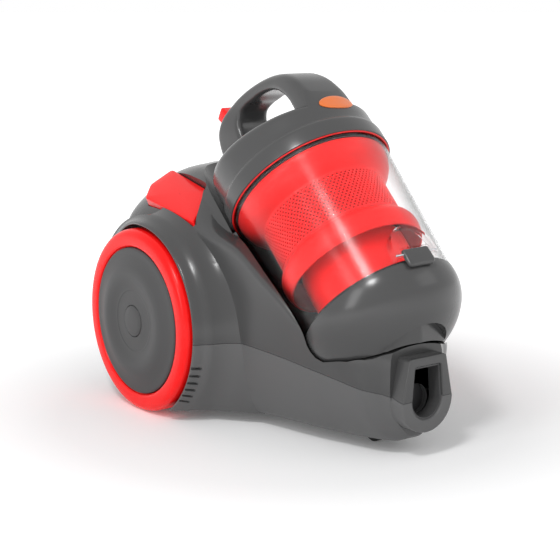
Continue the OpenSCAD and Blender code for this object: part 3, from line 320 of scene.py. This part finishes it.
deck = {
    -200: [(33.8, 84), (33.6, 96), (32.6, 103), (30.4, 108.5), (27, 111.6), (20, 112.8), (10, 113), (0, 113)],
    -194: [(40, 86), (40.4, 97), (39.4, 104), (37, 109), (33, 112), (25, 112.9), (12, 113), (0, 113)],
    -188: [(49.5, 88), (50.4, 98), (49.4, 105), (47, 109.5), (43, 112.2), (32, 113), (16, 113), (0, 113)],
    -181: [(57, 89), (58, 99), (57, 105.5), (54.6, 110), (50, 112.4), (36, 113), (18, 113), (0, 113)],
    -170: [(63, 90), (64.6, 99), (64, 105), (61.6, 109.5), (57, 112.2), (42, 113), (22, 113), (0, 113)],
    -158: [(68, 92), (70.4, 101), (70.4, 108), (68.4, 112.6), (64, 115), (48, 116), (26, 116), (0, 116)],
    -140: [(73.6, 98), (76.4, 108), (76.8, 115.6), (75, 119.6), (70, 121.4), (54, 122), (28, 122), (0, 122)],
    -123: [(78, 104), (81.4, 116), (82, 123.4), (80.2, 127), (75, 128.4), (58, 129), (30, 129), (0, 129)],
    -96: [(83, 116), (86, 134), (86.6, 142.6), (85.2, 146.8), (81, 148.4), (62, 149), (32, 149), (0, 149)],
    -60: [(88.6, 128), (90.6, 156), (91, 166), (89.8, 170), (86, 171.6), (64, 172), (34, 172), (0, 172)],
    -29: [(92.4, 140), (94, 176), (94.2, 186), (93.2, 190), (89.6, 191.6), (66, 192), (34, 192), (0, 192)],
    6: [(97, 150), (98.2, 186), (98.2, 196), (97, 200.4), (93.4, 202.4), (70, 203.4), (36, 204), (0, 204)],
    39: [(102, 150), (101.6, 186), (100.6, 202), (97.8, 209.6), (93, 215.6), (76, 226), (45, 236), (0, 238)],
    62: [(104, 150), (103, 186), (101.4, 203), (97.6, 213), (91, 222), (74, 237), (48, 251), (0, 255)],
    97: [(105, 150), (103.6, 186), (101.8, 204), (98.4, 214), (91, 224), (74, 239), (47, 256.6), (0, 262)],
    124: [(105, 150), (103.4, 186), (101.4, 203), (97.6, 213), (90, 223.6), (73, 238.4), (45, 255.6),
          (0, 261)],
    157: [(105, 150), (102, 184), (99, 200), (94.6, 210), (86, 220.6), (69, 234), (42, 248.6), (0, 255.6)],
    182: [(103.6, 150), (99, 180), (94.4, 194), (88, 204.4), (77, 214.6), (60, 226), (35, 238.4), (0, 245)],
    201: [(97.6, 146), (90.6, 168), (84, 180), (76, 190), (65, 199), (49, 209), (28, 220), (0, 227)],
    213: [(84, 140), (77, 156), (70, 165), (61, 174), (50, 182), (37, 190), (20, 199), (0, 204)],
    219.6: [(66, 118), (62, 132), (56, 140), (48, 148), (39, 155), (28, 161), (15, 168), (0, 172)]}


def body_rings():
    """The stations as full rings, smoothed round each section and from one to the next.

    From the flat keel the wall turns up through two points of its own to the seam.
    """
    stations = []
    for y in sorted(keel):
        (keel_z, keel_x), (seam_x, seam_z) = keel[y], seam[y]
        section = [(0, keel_z), (keel_x * 0.6, keel_z), (keel_x, keel_z + 0.8),
                   (keel_x + 0.2 * (seam_x - keel_x) + 2, keel_z + 7),
                   (keel_x + 0.62 * (seam_x - keel_x) + 3, keel_z + 0.5 * (seam_z - keel_z)),
                   (seam_x, seam_z)] + deck[y]
        stations.append([(x, y, z) for x, z in section])
    rings = []
    for station in flow(stations, 4):
        right = flow(station, 4)
        left = [(-x, y, z) for x, y, z in right[1:-1]][::-1]
        rings.append([tuple(q) for q in right] + left)
    return rings


body = grid("upper_shell", body_rings())


def on_wheel(form, side):
    """Puts a lathe form on one wheel axle, with its height running outwards."""
    axle = Matrix.Translation((0, WHEEL_Y * MM, WHEEL_Z * MM)) @ Matrix.Rotation(side * pi / 2, 4, "Y")
    return placed(form, axle)


def faded(rim):
    """Lets the outer edge of a rim die away behind the top of the wheel."""
    rim_start, fade_start, fade_length, fade_share = 118, -5, 75, 0.86
    for vertex in rim.data.vertices:
        beyond = vertex.co.z - rim_start * MM
        back = min(max((vertex.co.y / MM - fade_start) / fade_length, 0), 1)
        vertex.co.z -= max(beyond, 0) * fade_share * back
    return rim


# the rim round each wheel opening, with a hollow flare that runs into the flank in front;
# wheel profiles are (radius, distance out from the middle of the machine)
rim_ground, rim_facets = 12.2, 160
lip = [(110.6, 121.2), (108.8, 125.2), (107.6, 128.6), (106.5, 131.6), (105.9, 132.5), (105.2, 132.9),
       (104.4, 132.9), (103.7, 132.5), (103.4, 131.8), (103.4, 60)]
flare_profile = [(156, 60), (146, 72), (139, 79), (134, 84), (130, 88.6), (126, 92.6), (122, 97),
                 (118.6, 102.4), (116.2, 108), (114.6, 113.4), (113.4, 118)] + lip
band_profile = [(112.9, 60), (112.9, 118)] + lip
front_half = slab("front_half", oblong(-70, WHEEL_Y, rim_ground, 240), -140, 140, "x")
flank = [(-60, 11.5), (194, 11.5), (213, 42), (220, 80), (220, 230), (-60, 230)]
for side in (-1, 1):
    flare = on_wheel(faded(turned("flare", flare_profile, rim_facets)), side)
    carve(flare, front_half, "INTERSECT", keep=True)
    band = on_wheel(faded(turned("band", band_profile, rim_facets)), side)
    carve(band, slab("side_shape", flank, -140, 140, "x"), "INTERSECT")
    carve(band, flare, "UNION")
    carve(body, band, "UNION")
bpy.data.objects.remove(front_half)


def d_outline(half, low_z, top_half, top_z, corner):
    """The D shape of the hose block and its mouth: round below, narrower and flat above."""
    below = [(half * cos(a), low_z + half * sin(a)) for a in np.linspace(0, -pi, 28)]
    above = [(-half, low_z), (-top_half, top_z), (top_half, top_z), (half, low_z)]
    return rounded(above, [0, corner, corner, 0]) + below[1:-1]


block = slab("hose_block", d_outline(32.5, 59.6, 23.4, 102.8, 3), -217, -184, "y", soft_low=1.6)
carve(body, block, "UNION")

# the bin seat, cut so that the nose stays whole; bin profiles are (radius, height) along
# the axis of the bin
seat_profile = [(0, -225), (8, -224.8), (26, -221), (41, -217), (53.6, -211.6), (64.8, -203.4),
                (71.8, -195.8), (78.4, -187.4), (82.4, -179), (84.4, -171.8), (85.5, -165),
                (85.8, -158), (91, -9), (95, -9), (95, 150), (0, 150)]
seat_tool = placed(turned("seat_tool", seat_profile, 160), BIN)
carve(seat_tool, slab("under_nose", circle(122.5, 0, -11, 160), -230, -150, "y"))
carve(body, seat_tool)

# the wheel openings, the pedal wells and the six vents in the rim in front of each wheel
PEDAL = (Matrix.Translation((77 * MM, 101 * MM, 232 * MM)) @ Matrix.Rotation(radians(28), 4, "Y")
         @ Matrix.Rotation(radians(6.5), 4, "X"))
pedal_plan = rounded([(-31, 53.5), (-17.4, -32.6), (32, -64.5), (22.2, 37), (1.2, 54.2)], [6, 5, 4, 3, 4], 6)
pedal_gap = 0.7
opening_radius = 103.4
vent_x, vent_count, vent_first, vent_step = 127.4, 6, 18, 5


def on_pedal(form, side):
    """Puts a form in the place of one pedal; the left pedal is the right one mirrored."""
    placed(form, PEDAL)
    return outward(placed(form, Matrix.Scale(-1, 4, (1, 0, 0)))) if side < 0 else form


for side in (-1, 1):
    opening = [(0, 104), (opening_radius, 104), (opening_radius, 160), (0, 160)]
    carve(body, on_wheel(turned("wheel_tool", opening, rim_facets), side))
    carve(body, on_pedal(slab("tub_tool", drawn_in(pedal_plan, -pedal_gap), -20, 40, "z"), side))
    for i in range(vent_count):
        slot_tool = slab("vent_tool", rounded(oblong(-5.4, 5.4, -1.7, 1.7), 0.9, 2), -118, -104.8, "y")
        about_axle = (Matrix.Translation((side * vent_x * MM, WHEEL_Y * MM, WHEEL_Z * MM))
                      @ Matrix.Rotation(radians(vent_first + vent_step * i), 4, "X"))
        carve(body, placed(slot_tool, about_axle))

# the hose mouth with its flared edge and bore, then the exhaust, cord gland and caster
mouth = d_outline(19.6, 59.6, 16.6, 93.6, 2.4)
mouth_edge = [(-2.2, -218), (-1.2, -217), (-0.4, -216.2), (0.1, -215)]
carve(body, slab("mouth_tool", mouth, -230, -199, "y"))
carve(body, grid("mouth_flare", [[(u, y, v) for u, v in drawn_in(mouth, d)] for d, y in mouth_edge]))
carve(body, slab("bore_tool", circle(15, 0, 57, 48), -201, -186, "y"))
carve(body, slab("exhaust_tool", rounded(oblong(-56, 24, 82, 154), 1), 200, 230, "y"))
carve(body, slab("gland_tool", circle(8, 43, 104, 48), 206, 230, "y"))
carve(body, slab("caster_tool", circle(24, 0, -150, 64), 5, 25.5, "z"))

# the seam: everything above it is the upper shell, everything below it the chassis
seam_up, seam_down = 0.2, 0.25
front_seam = [(y, seam[y][1]) for y in sorted(seam) if y < 150]
seam_line = curve([(-222, 60), (-208, 62.2)] + front_seam + [(170, 80), (226, 80)], 4)
above = [(y, z + seam_up) for y, z in seam_line] + [(226, 300), (-222, 300)]
below = [(y, z - seam_down) for y, z in seam_line] + [(226, -20), (-222, -20)]
chassis = copied(body, "chassis_shell")
carve(body, slab("above_seam", above, -150, 150, "x"), "INTERSECT")
carve(chassis, slab("below_seam", below, -150, 150, "x"), "INTERSECT")


def grained(name, colour, rough, grain=0.04, scale=900, coat=0.0, shine=0.5):
    """Moulded plastic: a fine spark-eroded grain and a slight unevenness in its gloss."""
    coat_rough, grain_depth, patch_scale, gloss_swing = 0.08, 0.0004, 14, 0.12
    skin, shader = material(name, colour, rough,
                            Specular_IOR_Level=shine, Coat_Weight=coat, Coat_Roughness=coat_rough)
    tree = skin.node_tree
    place = added(tree, "TexCoord").outputs["Object"]
    fine = added(tree, "TexNoise", place, Scale=scale, Detail=3)
    bump = added(tree, "Bump", Strength=grain, Distance=grain_depth)
    tree.links.new(fine.outputs["Fac"], bump.inputs["Height"])
    tree.links.new(bump.outputs["Normal"], shader.inputs["Normal"])
    broad = added(tree, "TexNoise", place, Scale=patch_scale)
    gloss = added(tree, "MapRange", broad.outputs["Fac"],
                  To_Min=rough * (1 - gloss_swing), To_Max=rough * (1 + gloss_swing))
    tree.links.new(gloss.outputs["Result"], shader.inputs["Roughness"])
    return skin


def finish(obj, skin, body_name, slot_name, *nodes, angle=40):
    """Gives a finished piece its material and its body, and hides the nodes it stands for; slot_name is not
    used.
    """
    obj.data.materials.clear()
    obj.data.materials.append(skin)
    for face in obj.data.polygons:
        face.material_index = 0
    only(obj)
    bpy.ops.object.shade_smooth_by_angle(angle=radians(angle))
    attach(obj, body_name)
    if nodes:
        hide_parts(*nodes)
    return obj


dark_plastic = grained("dark_grey_plastic", (0.056, 0.056, 0.0565), 0.22, grain=0.025, shine=0.45)
grey_plastic = grained("light_grey_plastic", (0.108, 0.108, 0.109), 0.4, grain=0.06, shine=0.3)
finish(body, dark_plastic, "machine", "dark_plastic", "upper_body", angle=30)
finish(chassis, grey_plastic, "machine", "grey_plastic", "lower_chassis", angle=30)

# ---- Wheels: a hard dished disc with a snap-in centre cap, and a soft glossy red tyre
# moulded over its rim.  They run on steel stub axles in the body bosses.
signal_red = (0.94, 0.006, 0.006)
tyre_facets, hub_facets, cap_facets = 192, 160, 64
tyre_profile = [(80, 112), (96, 112), (98.4, 112.6), (99.1, 114), (99.3, 116), (99.3, 130), (99, 132.8),
                (98, 135.3), (96.2, 137.4), (93.6, 138.8), (90.6, 139.3), (84, 139.3), (82, 138.9),
                (81, 138), (80.7, 136.4), (80, 136)]
hub_back = [(5.05, 108), (16, 108), (16, 126), (30, 134), (52, 137.6), (74, 133), (76, 112)]
hub_rim = [(79.4, 112), (79.4, 137.2), (79.1, 138.2), (78.4, 138.8), (77, 139.2)]
hub_dish = curve([(77, 139.2), (71, 139.9), (64, 141.6), (58, 143.3), (52, 144), (46, 143.4), (40, 142),
                  (36, 141.2), (33.5, 141)], 4)
hub_middle = [(33, 140.6), (32.4, 140.5), (24, 140.9), (17.6, 141.1), (17.3, 140.7), (17.3, 137.6),
              (14, 137.6), (14, 130), (5.05, 130)]
hub_profile = hub_back + hub_rim + hub_dish[1:] + hub_middle
cap_profile = [(0, 138.6), (10, 138.6), (10, 134), (12, 134), (12, 138), (16.6, 138), (16.9, 138.4),
               (16.9, 141), (16.6, 141.6), (15.8, 142), (10, 142.6), (4, 142.8), (0.01, 142.8)]
hub_plastic = grained("hub_grey_plastic", (0.066, 0.066, 0.067), 0.46, grain=0.03, shine=0.2)
tyre_red = grained("tyre_red", signal_red, 0.26, grain=0.02, shine=0.22)
for side, word in ((-1, "left"), (1, "right")):
    tyre = on_wheel(turned("tyre_skin_" + word, tyre_profile, tyre_facets), side)
    finish(tyre, tyre_red, word + "_wheel", "red_plastic", "tyre_" + word)
    hub = on_wheel(turned("hub_skin_" + word, hub_profile, hub_facets), side)
    finish(hub, hub_plastic, word + "_wheel", "dark_plastic", "hub_" + word)
    cap = on_wheel(turned("cap_skin_" + word, cap_profile, cap_facets), side)
    finish(cap, hub_plastic, word + "_wheel", "dark_plastic", "cap_" + word)

# ---- Pedals: two glossy red foot pedals let into the shoulders of the deck, hinged at
# their front ends.  Each is a shallow moulded cap with a crowned top and a rolled edge.
pedal_edge = [(3, -3), (3, -9.6), (2.4, -10), (0.5, -10), (0, -9.6), (0, -1.6), (0.1, -0.9), (0.45, -0.35),
              (1.1, 0), (2.2, 0.25)]
pedal_crown = [(0.8, 0.8), (0.55, 1.25), (0.3, 1.5), (0.1, 1.55)]
red_gloss = grained("pedal_red", signal_red, 0.22, grain=0.015, shine=0.25)
for side, word in ((-1, "power"), (1, "rewind")):
    rings = [[(x, y, h) for x, y in drawn_in(pedal_plan, d)] for d, h in pedal_edge]
    rings += [[(x * share, y * share, h) for x, y, z in rings[-1]] for share, h in pedal_crown]
    pedal = on_pedal(grid("pedal_skin_" + word, rings), side)
    finish(pedal, red_gloss, word + "_pedal", "red_plastic", "pedal_" + word)

# ---- Dust bin: a clear injection moulded beaker, slightly wider at the lid.  It drops
# into the seat of the body, and the guard of its latch is a CAD solid of its own.
coat_index, face_on_level, painted_edge_shade_level = 1.45, 0.98, 0.45
clear_plastic, clear_shader = material("clear_plastic", (0.97, 0.975, 0.98), 0.02, Transmission_Weight=1.0,
                                       IOR=1.03, Coat_Weight=0.45, Coat_Roughness=0.2, Coat_IOR=coat_index)
# painted shade: the wall's colour darkens from face on towards its grazing edges, so its outline shows as a
# grey band
clear_nodes = clear_plastic.node_tree
facing = added(clear_nodes, "LayerWeight", Blend=0.5)
painted_edge_shade = added(clear_nodes, "MapRange", facing.outputs["Facing"], From_Min=0.4, From_Max=0.92,
                  To_Min=face_on_level, To_Max=painted_edge_shade_level)
clear_nodes.links.new(painted_edge_shade.outputs["Result"], clear_shader.inputs["Base Color"])
bin_profile = [(82.6, -157), (82.3, -156.6), (82.3, -150), (88.5, -4), (88.6, 0), (88.6, 8),
               (88.2, 8.4), (87, 8.4), (86.4, 8), (86.4, 0), (86.3, -4), (80.1, -150), (80.1, -157)]
clear_bin = placed(turned("clear_bin_wall", bin_profile, 192), BIN)
finish(clear_bin, clear_plastic, "bin", "clear_plastic", "bin_clear", angle=30)

# ---- Cyclone: the red inner moulding, a flanged cone over a fine perforated screen, a
# flared skirt under it, and the dust cone that runs down to the base cap.
red_inner = grained("cyclone_red", (0.95, 0.008, 0.008), 0.32, grain=0.01, shine=0.2)
cyclone_flange = [(85.3, -6), (85.5, -7.4), (85.3, -9.6), (84.8, -12.6), (82.6, -18), (79, -23),
                  (73.6, -27), (69.8, -29.4), (68.4, -30.4), (68, -31.2), (68, -33), (66, -33),
                  (66, -32), (76, -24), (82, -12), (82.6, -6)]
upper_cone = placed(turned("cyclone_cone", cyclone_flange, 160), BIN)
finish(upper_cone, red_inner, "cyclone", "red_plastic", "shroud")
skirt_outside = curve([(68.3, -79.4), (70.8, -81.6), (73.6, -85), (75.8, -89.4), (76.6, -94), (76.4, -99),
                       (75.4, -104), (73.6, -108)], 4)
skirt_inside = curve([(71.6, -107.6), (73.4, -102), (74, -96), (73, -90), (70.4, -85), (67, -81)], 3)
skirt_profile = ([(67.9, -76.5), (67.9, -78.6)] + skirt_outside + [(72.2, -108.2)] + skirt_inside
                 + [(66, -76.5)])
skirt = placed(turned("cyclone_skirt", skirt_profile, 160), BIN)
finish(skirt, red_inner, "cyclone", "red_plastic", "shroud")

screen_top, screen_bottom, screen_wall = -32.5, -77, 0.0012
holes_round, hole_rows, hole_radius = 88, 16, 1.12


def screen_radius(height):
    """The screen narrows a little on its way down from the flange."""
    return 68 + (height + 33) * 0.008


def screen(name):
    """A perforated band: every cell has a round hole, and each row is staggered."""
    points, faces = [], []
    row_height = (screen_top - screen_bottom) / hole_rows
    cell_turn = 2 * pi / holes_round
    square = [(-1, -1), (0, -1), (1, -1), (1, 0), (1, 1), (0, 1), (-1, 1), (-1, 0)]
    for i in range(hole_rows):
        for j in range(holes_round):
            turn, height = (j + 0.5 * (i % 2)) * cell_turn, screen_bottom + (i + 0.5) * row_height
            n = len(points)
            for a, b in square:
                h = height + b * row_height / 2
                points.append((screen_radius(h), turn + a * cell_turn / 2, h))
            for a, b in square:
                k = 1 / sqrt(a * a + b * b)
                h = height + b * k * hole_radius
                points.append((screen_radius(h), turn + a * k * hole_radius / screen_radius(h), h))
            faces += [(n + k, n + (k + 1) % 8, n + 8 + (k + 1) % 8, n + 8 + k) for k in range(8)]
    obj = outward(make(name, [(r * cos(a), r * sin(a), h) for r, a, h in points], faces))
    return shape(obj, "SOLIDIFY", thickness=screen_wall, offset=-1)


finish(placed(screen("cyclone_screen"), BIN), red_inner, "cyclone", "red_plastic", "shroud", angle=30)
# painted shade: a dark red sheet just inside the screen, so that its holes read dark like the shadowed inside
# of the cyclone
painted_shade_red = grained("painted_shade_red", (0.3, 0.004, 0.004), 0.6, grain=0.02, shine=0.1)
shade_sheet = placed(turned("screen_shade_sheet", [(66, -34), (66, -76.4), (65.4, -76.4), (65.4, -34)], 96), BIN)
finish(shade_sheet, painted_shade_red, "cyclone", "red_plastic", "shroud", angle=30)
cone_profile = [(20, 1.9), (20, -60), (26, -66), (50, -86), (55.2, -93), (56.6, -99), (56.6, -158),
                (54.4, -158), (54.4, -99), (53, -94), (48, -88), (24, -68), (18, -60), (18, 1.9)]
dust_cone = placed(turned("dust_cone_skin", cone_profile, 128), BIN)
finish(dust_cone, red_inner, "cyclone", "red_plastic", "dust_cone")

# ---- Lid: a dark grey moulded cover with a stepped collar over the mouth of the bin and
# a red soft seal under its edge.  Its top leans, highest towards the back.
lid_inside = [(0.01, 53), (60, 52), (78, 50), (82, 47), (83.6, 42), (83.6, -4.6), (84, -5), (85.6, -5),
              (86, -4.6), (86.1, 11)]
lid_collar = [(88.9, 11), (88.9, -1.8), (89.4, -2), (91.6, -2), (92.2, -1.6), (92.3, -0.8), (92.3, 12)]
lid_step = curve([(92.25, 13), (91.9, 15), (91, 16.8), (90.2, 17.8), (89.9, 19)], 3)
lid_crown = curve([(89.2, 43), (88.5, 46.6), (86.8, 50), (84, 52.6), (79, 54.2), (68, 55.2), (50, 56),
                   (26, 56.7), (0.01, 57)], 4)
lid_profile = lid_inside + lid_collar + lid_step + [(89.6, 26), (89.4, 38)] + lid_crown
lean, lean_start, lean_rise = 0.127, 30, 22
lid = turned("lid_skin", lid_profile, 192)
for vertex in lid.data.vertices:
    share = min(max((vertex.co.z / MM - lean_start) / lean_rise, 0), 1)
    vertex.co.z += share * lean * vertex.co.y
finish(placed(lid, BIN), dark_plastic, "lid", "dark_plastic", "bin_lid", angle=35)
seal_red = grained("seal_red", (0.8, 0.012, 0.012), 0.4, grain=0.02)
seal_profile = [(88.9, -2.05), (88.9, -2.7), (89.2, -2.95), (90.4, -2.95), (90.8, -2.6), (90.8, -2.05)]
seal = placed(turned("lid_seal_skin", seal_profile, 192), BIN)
finish(seal, seal_red, "lid", "red_rubber", "lid_seal")

# ---- Handle: a hollow moulded bow in one with the lid, broad where it leaves the front
# of the lid and thicker at the back, where the hand closes round it.
handle_corner = 10
# stations along the bow: its outer and its inner line, each as (y, z), and its half width
bow = [((-90, 30), (-64, 30), 29.6), ((-89, 46), (-62, 52), 28.4), ((-86, 62), (-61, 68), 27.4),
       ((-80.6, 79), (-55.6, 82.5), 26), ((-71, 94.4), (-47.6, 93.6), 24),
       ((-57, 107), (-37, 102), 22.4), ((-40, 117.6), (-22, 110.6), 21.2),
       ((-20, 127), (-7, 116), 20.4), ((0, 134), (4, 120), 20), ((20, 139.4), (16, 121.4), 20),
       ((38, 142), (24, 118), 20.6), ((54, 140.4), (29, 112.6), 21.6), ((67, 133.4), (31.8, 104), 22.4),
       ((75, 120), (33, 92), 22.5), ((78.8, 104), (33.5, 79), 22.5), ((79.8, 86), (33.5, 65), 22.5),
       ((80, 60), (33.5, 50), 22.5), ((80, 36), (33.5, 36), 22.5)]
rings = []
for outer, inner, half in flow([[(*outer, 0), (*inner, 0), (half, 0, 0)] for outer, inner, half in bow], 5):
    o, i, w = outer[:2], inner[:2], half[0]
    h = np.linalg.norm(o - i)
    k = min(handle_corner, h / 2.1)
    section = rounded(oblong(-w, w, 0, h), [k * 0.8, k * 0.8, k, k], 7)
    rings.append([(x, *(i + (o - i) * (d / h))) for x, d in section])
handle = placed(grid("handle_skin", rings), BIN)
lid_side, handle_foot = 89.3, 25
drum = [(0.01, handle_foot), (lid_side, handle_foot), (lid_side, 160), (0.01, 160)]
carve(handle, placed(turned("drum_tool", drum, 160), BIN), "INTERSECT")
BUTTON = BIN @ Matrix.Translation((0, 50 * MM, 141 * MM)) @ Matrix.Rotation(radians(-16), 4, "X")
button_well = slab("button_tool", rounded(oblong(-15.5, 15.5, -8.5, 8.5), 2), -18, 30, "z")
carve(handle, placed(button_well, BUTTON))
finish(handle, dark_plastic, "lid", "dark_plastic", "carry_handle")

# ---- Release button: a glossy red moulded thumb tab in the back of the handle, which
# slides in its well over a spring and works the catch.
button = slab("button_skin", rounded(oblong(-15, 15, -8, 8), 3), -8, 12.6, "z", soft_high=2.4)
finish(placed(button, BUTTON), red_gloss, "button", "red_plastic", "release_button")

# ---- Badge: a plain oval plate of orange red plastic, moulded with a soft edge and set
# on the front of the lid.  It is left bare.
badge_side, badge_middle, badge_half_width, badge_half_height, badge_turn = 89.5, 37, 22, 8, 3.3
badge_edge = [(1.0, 89.5), (1.0, 90.4), (0.97, 90.75), (0.9, 90.95), (0.55, 91.05), (0.02, 91.05)]
rings = []
for share, reach in badge_edge:
    ring = []
    for a in np.linspace(0, 2 * pi, 64, False):
        along = badge_half_width * share * cos(a) / badge_side
        height = badge_middle + badge_half_height * share * sin(a)
        ring.append((reach * sin(along), -reach * cos(along), height))
    rings.append(ring)
badge = placed(grid("badge_plate", rings), BIN @ Matrix.Rotation(radians(badge_turn), 4, "Z"))
badge_finish = grained("badge_plate", (0.75, 0.16, 0.02), 0.25, grain=0.01, coat=0.4)
finish(badge, badge_finish, "lid", "badge_plastic", "badge_blank")

# ---- Base cap: the dark moulded bowl that closes the bin, hinged at the back and latched
# in front, with a hollow brow over the hose block and an arch that clears the nose.
cap_outline = curve([(82.9, -157.5), (83.05, -163), (82.4, -170), (80.6, -177), (77.2, -184.6),
                    (71.4, -192.6), (63.6, -200.6), (52.8, -208.4), (40.6, -214), (26, -217.6),
                    (12, -219.2), (0.01, -219.5)], 5)
cap_inner = [(0.01, -216), (26, -214), (50, -206), (66, -194), (75, -182), (79.6, -169), (79.8, -150),
             (0.01, -150)]
base_cap = placed(turned("base_cap_skin", cap_outline + [(0.01, -157.5)], 192), BIN)
inside = placed(turned("cap_inside", cap_inner, 128), BIN)


def brow_cut(form, wall, arch_z):
    """Cuts the hollow brow and the arch under the cap, wall millimetres oversize."""
    brow_y, brow_z, brow_radius, arch_radius, prow_slope = -205.3, 90.5, 45, 124, 0.23
    plan = [(x, wall + brow_y + abs(x) * prow_slope) for x in (-120, 0, 120)] + [(120, -400), (-120, -400)]
    prow = slab("prow_tool", plan, 60, 180, "z")
    brow = slab("brow_tool", circle(brow_radius + wall, 0, brow_z, 96), -300, -150, "y")
    carve(form, carve(prow, brow, "INTERSECT"))
    carve(form, slab("arch_tool", circle(arch_radius + wall, 0, arch_z, 200), -300, -150, "y"))


# the two arches have centres of their own, so that their faces never lie together
brow_cut(base_cap, 0, -9.7)
brow_cut(inside, 2.4, -4.5)
carve(base_cap, inside)
finish(base_cap, dark_plastic, "bin_base", "dark_plastic", "base_cap", angle=35)

# ---- Hose inlet: a dark moulded sleeve pressed into the mouth of the hose block, with a
# flat floor and a round bore through it to the duct.
sleeve = slab("sleeve_skin", drawn_in(mouth, 0.15), -214.4, -195.2, "y")
carve(sleeve, slab("sleeve_inner", drawn_in(mouth, 1.7), -220, -199, "y"))
carve(sleeve, slab("sleeve_bore", circle(14.6, 0, 57.2, 64), -205, -190, "y"))
sleeve_grey = grained("sleeve_grey", (0.07, 0.07, 0.071), 0.45, grain=0.04, shine=0.3)
finish(sleeve, sleeve_grey, "machine", "black_plastic", "inlet_collar", angle=30)

# ---- Inlet duct: a black blow moulded pipe that runs from the hose mouth past the caster
# and up behind the seat to the port of the bin, where a rubber seal rings its end.
duct_radius, duct_facets, port_height, port_reaches = 14.7, 40, -55, (128, 104, 92.8)
duct_start = [(0, -194, 57), (0, -184, 56.6), (6, -172, 54), (27, -154, 45), (33, -135, 41), (36, -105, 39),
              (36, -72, 38.5)]
duct_end = [[c / MM for c in (BIN @ Matrix.Translation((0, r * MM, port_height * MM))).translation]
            for r in port_reaches]
duct_line = flow(duct_start + duct_end, 5)
rings = []
for point, ahead in zip(duct_line, [*duct_line[1:], 2 * duct_line[-1] - duct_line[-2]]):
    run = Vector(ahead - point).normalized()
    across = run.cross(Vector((0, 0, 1)) if abs(run.z) < 0.8 else Vector((0, 1, 0))).normalized()
    over = across.cross(run)
    rings.append([tuple(Vector(point) + duct_radius * (cos(a) * across + sin(a) * over))
                  for a in np.linspace(0, 2 * pi, duct_facets, False)])
pipe_black = (0.018, 0.018, 0.019)
duct_black = grained("duct_black", pipe_black, 0.4, grain=0.06)
finish(grid("inlet_duct_skin", rings), duct_black, "machine", "black_plastic", "inlet_duct")

# ---- Latch: the small dark toggle on the front of the bin that holds the base cap shut,
# moulded with soft corners and pinned between the cheeks of its guard.
latch_turn = -3
latch_outline = rounded(oblong(-15.9, 15.9, -166.6, -147.1), [5, 5, 3, 3])
latch = slab("latch_skin", latch_outline, -88.4, -84.5, "y", soft_low=2)
placed(latch, BIN @ Matrix.Rotation(radians(latch_turn), 4, "Z"))
finish(latch, dark_plastic, "latch", "dark_plastic", "base_latch")

# ---- Everything else, mostly the works inside the body, keeps its CAD solid and takes
# the finish of its material slot.
finishes = {
    "dark_plastic": dark_plastic,
    "grey_plastic": grey_plastic,
    "red_plastic": red_inner,
    "clear_plastic": clear_plastic,
    "red_rubber": seal_red,
    "badge_plastic": badge_finish,
    "black_plastic": grained("black_plastic", pipe_black, 0.4, grain=0.06),
    "white_plastic": grained("white_plastic", (0.78, 0.78, 0.76), 0.42, grain=0.04),
    "steel": grained("bright_steel", (0.6, 0.6, 0.62), 0.28, grain=0.03),
    "rubber": grained("black_rubber", (0.022, 0.022, 0.022), 0.75, grain=0.12),
    "filter_media": grained("filter_media", (0.3, 0.3, 0.31), 0.95, grain=0.6, scale=350),
    "circuit_board": grained("circuit_board", (0.02, 0.16, 0.07), 0.35, grain=0.03),
}
finishes["steel"].node_tree.nodes["Principled BSDF"].inputs["Metallic"].default_value = 1.0
for part in frame["record"]["subparts"]:
    node = frame["nodes"][part["node"]]
    node.data.materials.clear()
    node.data.materials.append(finishes[part["material_slot"]])
